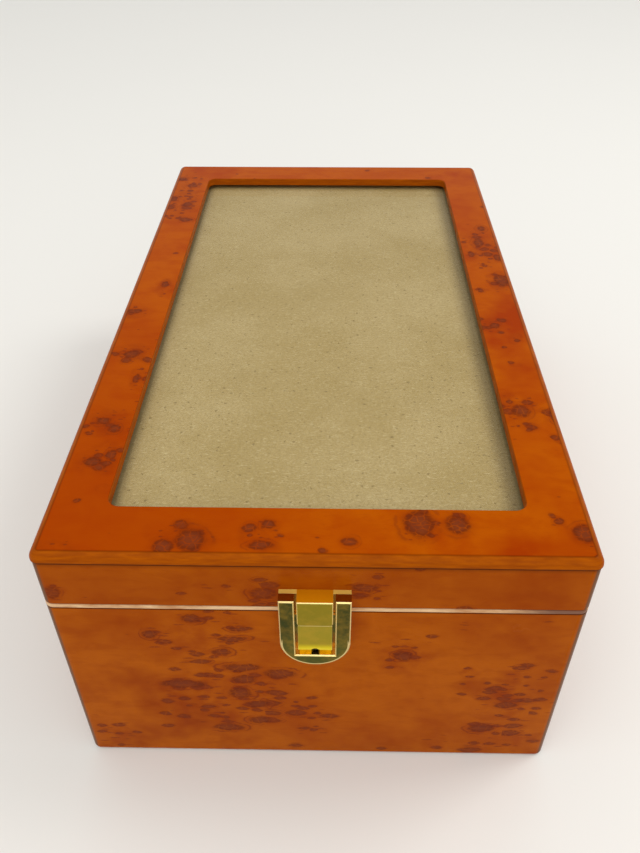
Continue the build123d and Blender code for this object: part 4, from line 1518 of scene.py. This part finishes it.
@dataclass
class Catch:
    """The push-button catch."""

    # The housing's dark olive front is a painted reflection.
    housing: GoldPlate = GoldPlate("housing_gold", srgb(58, 62, 20), srgb(78, 80, 26),
                                   srgb(244, 216, 128))
    # The button's front, lighter towards the bottom, is a painted reflection.
    centre: GoldPlate = GoldPlate("button_gold", low_front=srgb(228, 206, 44),
                                  low=85.8 * MM, high=88.6 * MM)
    # A dark steel screw, made near-black as painted shade for the hole it sits in.
    screw: PlainMetal = PlainMetal("dark_screw", srgb(22, 16, 12), srgb(70, 50, 36), 0.35)
    steel: PlainMetal = PlainMetal("spring_steel", srgb(150, 150, 152), srgb(200, 200, 205), 0.2)
    housing_edge: float = 0.16 * MM
    plate_edge: float = 0.36 * MM
    hook_clear: float = 4.0 * MM
    pocket_depth: float = 3.0 * MM
    boss_skin: float = 0.5 * MM
    # boss_front: the lid plate's olive front, a painted reflection.
    boss_front: Colour = srgb(140, 124, 28)
    wire: float = 0.5 * MM
    turns: int = 7

    def build(self) -> Pieces:
        """Dresses the catch, and returns its pieces."""
        low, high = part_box("catch_housing")
        half = (high.x - low.x) / 2
        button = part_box("catch_button")
        # The housing gets painted shade in its pocket and a painted highlight on the sill.
        pocket = (low.y + self.pocket_depth, button[0].z, button[1].x)
        dark = replace(self.housing, belly=(half, low.z + half), pocket_from=pocket).build()
        light = self.centre.build()
        beside_hook = [vertex.co.z for vertex in frame["nodes"]["catch_lid_plate"].data.vertices
                       if abs(vertex.co.x) > self.hook_clear]
        # The lid plate gets painted reflection on its boss and arms, and painted highlights on its
        # foot line and arm tops.
        boss = replace(self.centre, name="plate_gold", front=self.boss_front,
                       foot_line=min(beside_hook), boss_half=self._boss_half()).build()
        plated = [
            slotted(refined(node, name, gold, edge, 3))
            for node, name, gold, edge in (
                ("catch_housing", "housing_plated", dark, self.housing_edge),
                ("catch_lid_plate", "lid_plate_plated", boss, self.plate_edge),
                ("catch_button", "button_plated", light, self.plate_edge))]
        return [*plated, dress("catch_housing_screw", self.screw.build()), self._spring()]

    def _boss_half(self) -> float:
        """Half the width of the lid plate's boss, read off its foremost points."""
        points = [vertex.co for vertex in frame["nodes"]["catch_lid_plate"].data.vertices]
        foremost = min(point.y for point in points)
        return max(point.x for point in points if point.y < foremost + self.boss_skin)

    def _spring(self) -> Piece:
        """The coil behind the button, wound from a round wire."""
        steel = self.steel.build()
        low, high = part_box("catch_spring")
        tree = GeometryTree("coil")
        turns, radius = tree.size("Turns", 7.0), tree.size("Radius", 0.0025)
        length, wire = tree.size("Length", 0.005), tree.size("Wire", 0.00025)
        middle = [tree.size(f"Start {axis}", 0.0) for axis in "xyz"]
        coil = tree.node("GeometryNodeCurveSpiral", inputs={
            "Resolution": 20, "Rotations": turns, "Start Radius": radius, "End Radius": radius,
            "Height": length})
        wound = tree.tube(coil.outputs[0], wire, capped=True)
        tree.close(tree.moved(wound, Translation=tree.joined(*middle), Rotation=LYING_BACK), steel)
        half = self.wire / 2
        end = self.wire * 0.7
        centre = (low + high) / 2
        spring = tree.grow(
            "button_spring_wound", bpy.data.meshes.new("spring_start"), steel, "catch_button_body",
            Turns=float(self.turns), Radius=(high.x - low.x) / 2 - half, Wire=half,
            Length=high.y - low.y - 2 * end,
            Start_x=centre.x, Start_y=low.y + end, Start_z=centre.z)
        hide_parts("catch_spring")
        return slotted(spring)


@dataclass
class Hinges:
    """The two stop hinges and their cross-head screws."""

    # The hinges' rounded edges take the plate's painted highlight.
    gold: GoldPlate = GoldPlate("hinge_gold", srgb(206, 170, 70), srgb(206, 170, 70))
    edge: float = 0.15 * MM
    head_depth: float = 1.1 * MM
    slot_width: float = 0.45 * MM
    slot_depth: float = 0.55 * MM
    slot_turn: float = 0.35
    rim: float = 0.94
    point: float = 0.35
    shank: float = 0.47
    slot_reach: float = 1.35
    fit: float = 0.02 * MM

    def build(self) -> Pieces:
        """Dresses the hinges, drives their screws, and returns all of them."""
        gold = self.gold.build()
        nodes = [f"{side}_hinge_{half}_leaf"
                 for side in ("left", "right") for half in ("base", "lid")]
        leaves = [slotted(refined(node, f"{node}_plated", gold, self.edge))
                  for node in nodes]
        tree = self._screw_tree(gold)
        return [*leaves, dress("hinge_pins", gold),
                self._screws(tree, gold, "hinge_base_screws", "base", 0.0),
                self._screws(tree, gold, "hinge_lid_screws", "lid", math.pi)]

    def _screw_tree(self, gold: Material) -> GeometryTree:
        """The tree that puts a countersunk cross-head screw at each point.

        Args:
            gold: The screws' finish.

        Returns:
            The tree.
        """
        tree = GeometryTree("countersunk_screws")
        radius, shank = tree.size("Head radius", 0.0021), tree.size("Shank radius", 0.001)
        depth, length = tree.size("Head depth", 0.0011), tree.size("Length", 0.008)
        width, cut = tree.size("Slot width", 0.0005), tree.size("Slot depth", 0.0005)
        turn = tree.size("Turn", 0.0)
        cone = {"Vertices": 28, "Side Segments": 1, "Fill Segments": 1}
        head = tree.node("GeometryNodeMeshCone", inputs={
            **cone, "Radius Top": tree.times(radius, self.rim), "Radius Bottom": shank,
            "Depth": depth})
        stem = tree.node("GeometryNodeMeshCone", inputs={
            **cone, "Radius Top": shank, "Radius Bottom": tree.times(shank, self.point),
            "Depth": length})
        sunk, deep = (
            tree.moved(part.outputs[0], Translation=tree.joined(0.0, 0.0, tree.times(drop, -1.0)))
            for part, drop in ((head, depth), (stem, length)))
        long = tree.times(radius, self.slot_reach)
        tall = tree.times(cut, 2.0)
        bars = [tree.node("GeometryNodeMeshCube", inputs={"Size": tree.joined(x, y, tall)})
                for x, y in ((long, width), (width, long))]
        cross = tree.node("GeometryNodeMeshBoolean", {"operation": "DIFFERENCE"}, {
            "Mesh 1": sunk, "Mesh 2": [bar.outputs[0] for bar in bars]})
        whole = tree.node("GeometryNodeJoinGeometry", inputs={0: [cross.outputs[0], deep]})
        set_right = tree.moved(whole.outputs[0], Rotation=tree.joined(turn, 0.0, self.slot_turn))
        placed = tree.node("GeometryNodeInstanceOnPoints", inputs={
            "Points": tree.entry.outputs[0], "Instance": set_right})
        tree.close(placed.outputs[0], gold)
        return tree

    def _screws(self, tree: GeometryTree, gold: Material, node: str, body: str,
                turn: float) -> Piece:
        """Drives one body's screws.

        Args:
            tree: The screw tree.
            gold: The screws' finish.
            node: The CAD screws that these stand for.
            body: The body that they ride on.
            turn: 0 for heads up, a half turn for heads down.

        Returns:
            The screws, as one piece.
        """
        boxes = islands(node)
        points = [Vector(((low.x + high.x) / 2, (low.y + high.y) / 2, low.z if turn else high.z))
                  for low, high in boxes]
        start = bpy.data.meshes.new(f"{node}_start")
        start.from_pydata(points, [], [])
        low, high = boxes[0]
        radius = (high.x - low.x) / 2
        screws = tree.grow(f"{node}_driven", start, gold, body, Head_radius=radius,
                           Shank_radius=radius * self.shank, Head_depth=self.head_depth,
                           Length=high.z - low.z - self.fit, Slot_width=self.slot_width,
                           Slot_depth=self.slot_depth, Turn=turn)
        smooth(screws, 25.0)
        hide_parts(node)
        return slotted(screws)


@dataclass
class Cushions:
    """The watch cushions: padded blocks with piped and stitched ends."""

    cloth: Suede = Suede("cushion_suede", srgb(212, 196, 168), srgb(226, 212, 188), nap=0.0003)
    thread: Suede = Suede("cushion_thread", srgb(196, 178, 146), srgb(210, 194, 164), nap=0.0001)
    voxel: float = 4.0 * MM
    slack: float = 3.0 * MM
    pressure: float = 4.0
    most_swell: float = 6.0 * MM
    frames: int = 20
    piping: float = 0.75 * MM
    seam_inset: float = 4.5 * MM
    seam_depth: float = 0.9 * MM
    stitch_pitch: float = 3.0 * MM
    stitch_length: float = 2.0 * MM
    stitch_width: float = 0.5 * MM
    stitch_inset: float = 2.2 * MM
    piping_step: float = 1.8 * MM
    path_points: int = 72
    fill: float = 0.8
    rounding: float = 8 * MM
    room: float = 0.4 * MM
    seam_width: float = 2.2 * MM
    wrinkles: float = 90.0
    wrinkle_depth: float = 0.5 * MM
    crown: tuple[float, float] = (-0.5, 0.1)
    seed: int = 14

    def build(self) -> Pieces:
        """Sews one cushion, stands a slightly different one in each cell, and returns all."""
        suede, thread = self.cloth.build(), self.thread.build()
        nodes = nodes_in("cushion_suede")
        low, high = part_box(nodes[0])
        size = high - low
        block = self._block(size)
        self._swell(block)
        self._fit(block, size)
        rng = random.Random(self.seed)
        loops: list[list[Vector]] = []
        rows: list[list[Vector]] = []
        pads = []
        for node in nodes:
            low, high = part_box(node)
            pad = self._copy(block, node, suede, (low + high) / 2, size, rng)
            loops += self._seams(pad, (low + high) / 2, size, 0.0)
            rows += self._seams(pad, (low + high) / 2, size, self.stitch_inset)
            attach(pad, frame["nodes"][node]["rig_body"])
            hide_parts(node)
            pads.append(slotted(pad))
        bpy.data.objects.remove(block)
        return [*pads, self._pipe(loops, suede), self._stitch(rows, thread)]

    def _block(self, size: Vector) -> Piece:
        """The foam block before its cover fills out.

        Args:
            size: The finished cushion's size.

        Returns:
            An object at the origin.
        """
        shape = bmesh.new()
        bmesh.ops.create_cube(shape, size=1.0)
        for vertex in shape.verts:
            vertex.co = Vector(vertex.co[i] * (size[i] - self.slack) for i in range(3))
        bmesh.ops.bevel(shape, geom=shape.edges[:], offset=self.rounding, segments=4, profile=0.5,
                        affect="EDGES")
        mesh = bpy.data.meshes.new("cushion_block")
        shape.to_mesh(mesh)
        shape.free()
        block = bpy.data.objects.new("cushion_block", mesh)
        bpy.context.scene.collection.objects.link(block)
        remesh = block.modifiers.new("remesh", "REMESH")
        remesh.mode = "VOXEL"
        remesh.voxel_size = self.voxel
        settle(block)
        return block

    def _swell(self, block: Piece) -> None:
        """Fills the cover by a short cloth simulation, with a cap on how far it moves.

        Args:
            block: The remeshed block.
        """
        before = [vertex.co.copy() for vertex in block.data.vertices]
        cloth = block.modifiers.new("cloth", "CLOTH")
        cloth.settings.use_pressure = True
        cloth.settings.uniform_pressure_force = self.pressure
        cloth.settings.effector_weights.gravity = 0
        cloth.settings.quality = 6
        scene = bpy.context.scene
        for step in range(1, self.frames + 1):
            scene.frame_set(step)
        settle(block)
        scene.frame_set(1)
        for vertex, start in zip(block.data.vertices, before):
            move = vertex.co - start
            if move.length > self.most_swell:
                vertex.co = start + move * (self.most_swell / move.length)

    def _fit(self, block: Piece, size: Vector) -> None:
        """Brings the block to its finished size, finer, with its seams pulled in.

        Args:
            block: The swollen block.
            size: The finished cushion's size.
        """
        relaxed = block.modifiers.new("relaxed", "SMOOTH")
        relaxed.factor = 0.5
        relaxed.iterations = 4
        finer = block.modifiers.new("finer", "SUBSURF")
        finer.levels = finer.render_levels = 1
        settle(block)
        mesh = block.data
        low = [min(vertex.co[i] for vertex in mesh.vertices) for i in range(3)]
        high = [max(vertex.co[i] for vertex in mesh.vertices) for i in range(3)]
        for vertex in mesh.vertices:
            vertex.co = Vector(
                ((vertex.co[i] - low[i]) / (high[i] - low[i]) - 0.5) * (size[i] - self.room)
                for i in range(3))
            from_seam = abs(abs(vertex.co.x) - (size.x / 2 - self.seam_inset))
            pull = self.seam_depth * math.exp(-(from_seam / self.seam_width) ** 2)
            outward = Vector((0.0, vertex.co.y, vertex.co.z))
            if outward.length > 0.3 * size.z:
                vertex.co -= outward.normalized() * pull

    def _copy(self, block: Piece, node: str, suede: Material, centre: Vector,
              size: Vector, rng: random.Random) -> Piece:
        """One cushion in its cell, with its own slight wrinkles.

        Args:
            block: The sewn cushion at the origin.
            node: The CAD cushion that it stands for.
            suede: Its cloth.
            centre: The middle of its cell.
            size: The finished cushion's size.
            rng: The source of its small differences.

        Returns:
            The cushion.
        """
        mesh = block.data.copy()
        shift = Vector(rng.uniform(-9, 9) for _ in range(3))
        crown = rng.uniform(*self.crown) * MM
        for vertex in mesh.vertices:
            point = vertex.co
            wrinkle = noise.noise(point * self.wrinkles + shift) * self.wrinkle_depth
            rim = max(abs(point[i]) / (size[i] / 2) for i in range(3))
            inward = point.normalized() * min(0.0, wrinkle) if rim < 1.2 else Vector()
            vertex.co = point + inward
            if point.z > size.z * 0.35:
                vertex.co.z += crown
            vertex.co += centre
        pad = new_object(f"{node}_padded", mesh, suede)
        pad.data.shade_smooth()
        return pad

    def _seams(self, pad: Piece, centre: Vector, size: Vector,
               inward: float) -> list[list[Vector]]:
        """The seam round each end of a cushion, laid on its surface.

        Args:
            pad: The cushion.
            centre: Its middle.
            size: Its size.
            inward: How far from the seam towards the middle the path runs.

        Returns:
            Two closed paths.
        """
        tree = BVHTree.FromObject(pad, bpy.context.evaluated_depsgraph_get())
        paths = []
        for side in (-1, 1):
            x = centre.x + side * (size.x / 2 - self.seam_inset - inward)
            path = []
            for step in range(self.path_points):
                angle = math.tau * step / self.path_points
                way = Vector((0.0, math.cos(angle), math.sin(angle)))
                start = Vector((x, centre.y, centre.z))
                hit = tree.ray_cast(start, way)[0]
                path.append(hit if hit is not None else start + way * size.z / 2)
            paths.append(path)
        return paths

    def _pipe(self, loops: list[list[Vector]], suede: Material) -> Piece:
        """The piping that covers the seams.

        Args:
            loops: The seams.
            suede: The piping's cloth.

        Returns:
            The piping, as one piece.
        """
        tree = GeometryTree("piping")
        radius, spacing = tree.size("Radius", 0.0007), tree.size("Spacing", 0.002)
        tree.close(tree.tube(tree.evenly(spacing), radius, capped=False), suede)
        piping = tree.grow("cushion_piping", path_curve("piping_path", loops), suede, "base",
                           Radius=self.piping, Spacing=self.piping_step)
        return slotted(piping)

    def _stitch(self, rows: list[list[Vector]], thread: Material) -> Piece:
        """A row of stitches beside each seam.

        Args:
            rows: The paths of the rows.
            thread: The thread's finish.

        Returns:
            The stitches, as one piece.
        """
        tree = GeometryTree("stitches")
        pitch, length = tree.size("Pitch", 0.003), tree.size("Length", 0.002)
        thickness = tree.size("Thickness", 0.0003)
        path = tree.evenly(pitch)
        along = tree.node("GeometryNodeInputTangent")
        turned = tree.node("FunctionNodeAlignRotationToVector", {"axis": "X"}, {
            "Vector": along.outputs[0]})
        bead = tree.node("GeometryNodeMeshUVSphere", inputs={
            "Segments": 8, "Rings": 5, "Radius": 0.5})
        shaped = tree.moved(bead.outputs[0], Scale=tree.joined(length, thickness, thickness))
        laid = tree.node("GeometryNodeInstanceOnPoints", inputs={
            "Points": path, "Instance": shaped, "Rotation": turned.outputs[0]})
        tree.close(laid.outputs[0], thread)
        stitches = tree.grow("cushion_stitches", path_curve("stitch_path", rows), thread, "base",
                             Pitch=self.stitch_pitch, Length=self.stitch_length,
                             Thickness=self.stitch_width)
        return slotted(stitches)


def main() -> None:
    """Builds the studio and every assembly of the box in order, and reports each piece."""
    logging.basicConfig(level=logging.INFO, format="%(name)s: %(message)s")
    for assembly in (Studio(), Carcass(), Lid(), Interior(), Catch(), Hinges(), Cushions()):
        for piece in assembly.build():
            faces = len(piece.data.polygons)
            log.info("%s: %s, %d faces", type(assembly).__name__, piece.name, faces)


if __name__ == "__main__":
    main()
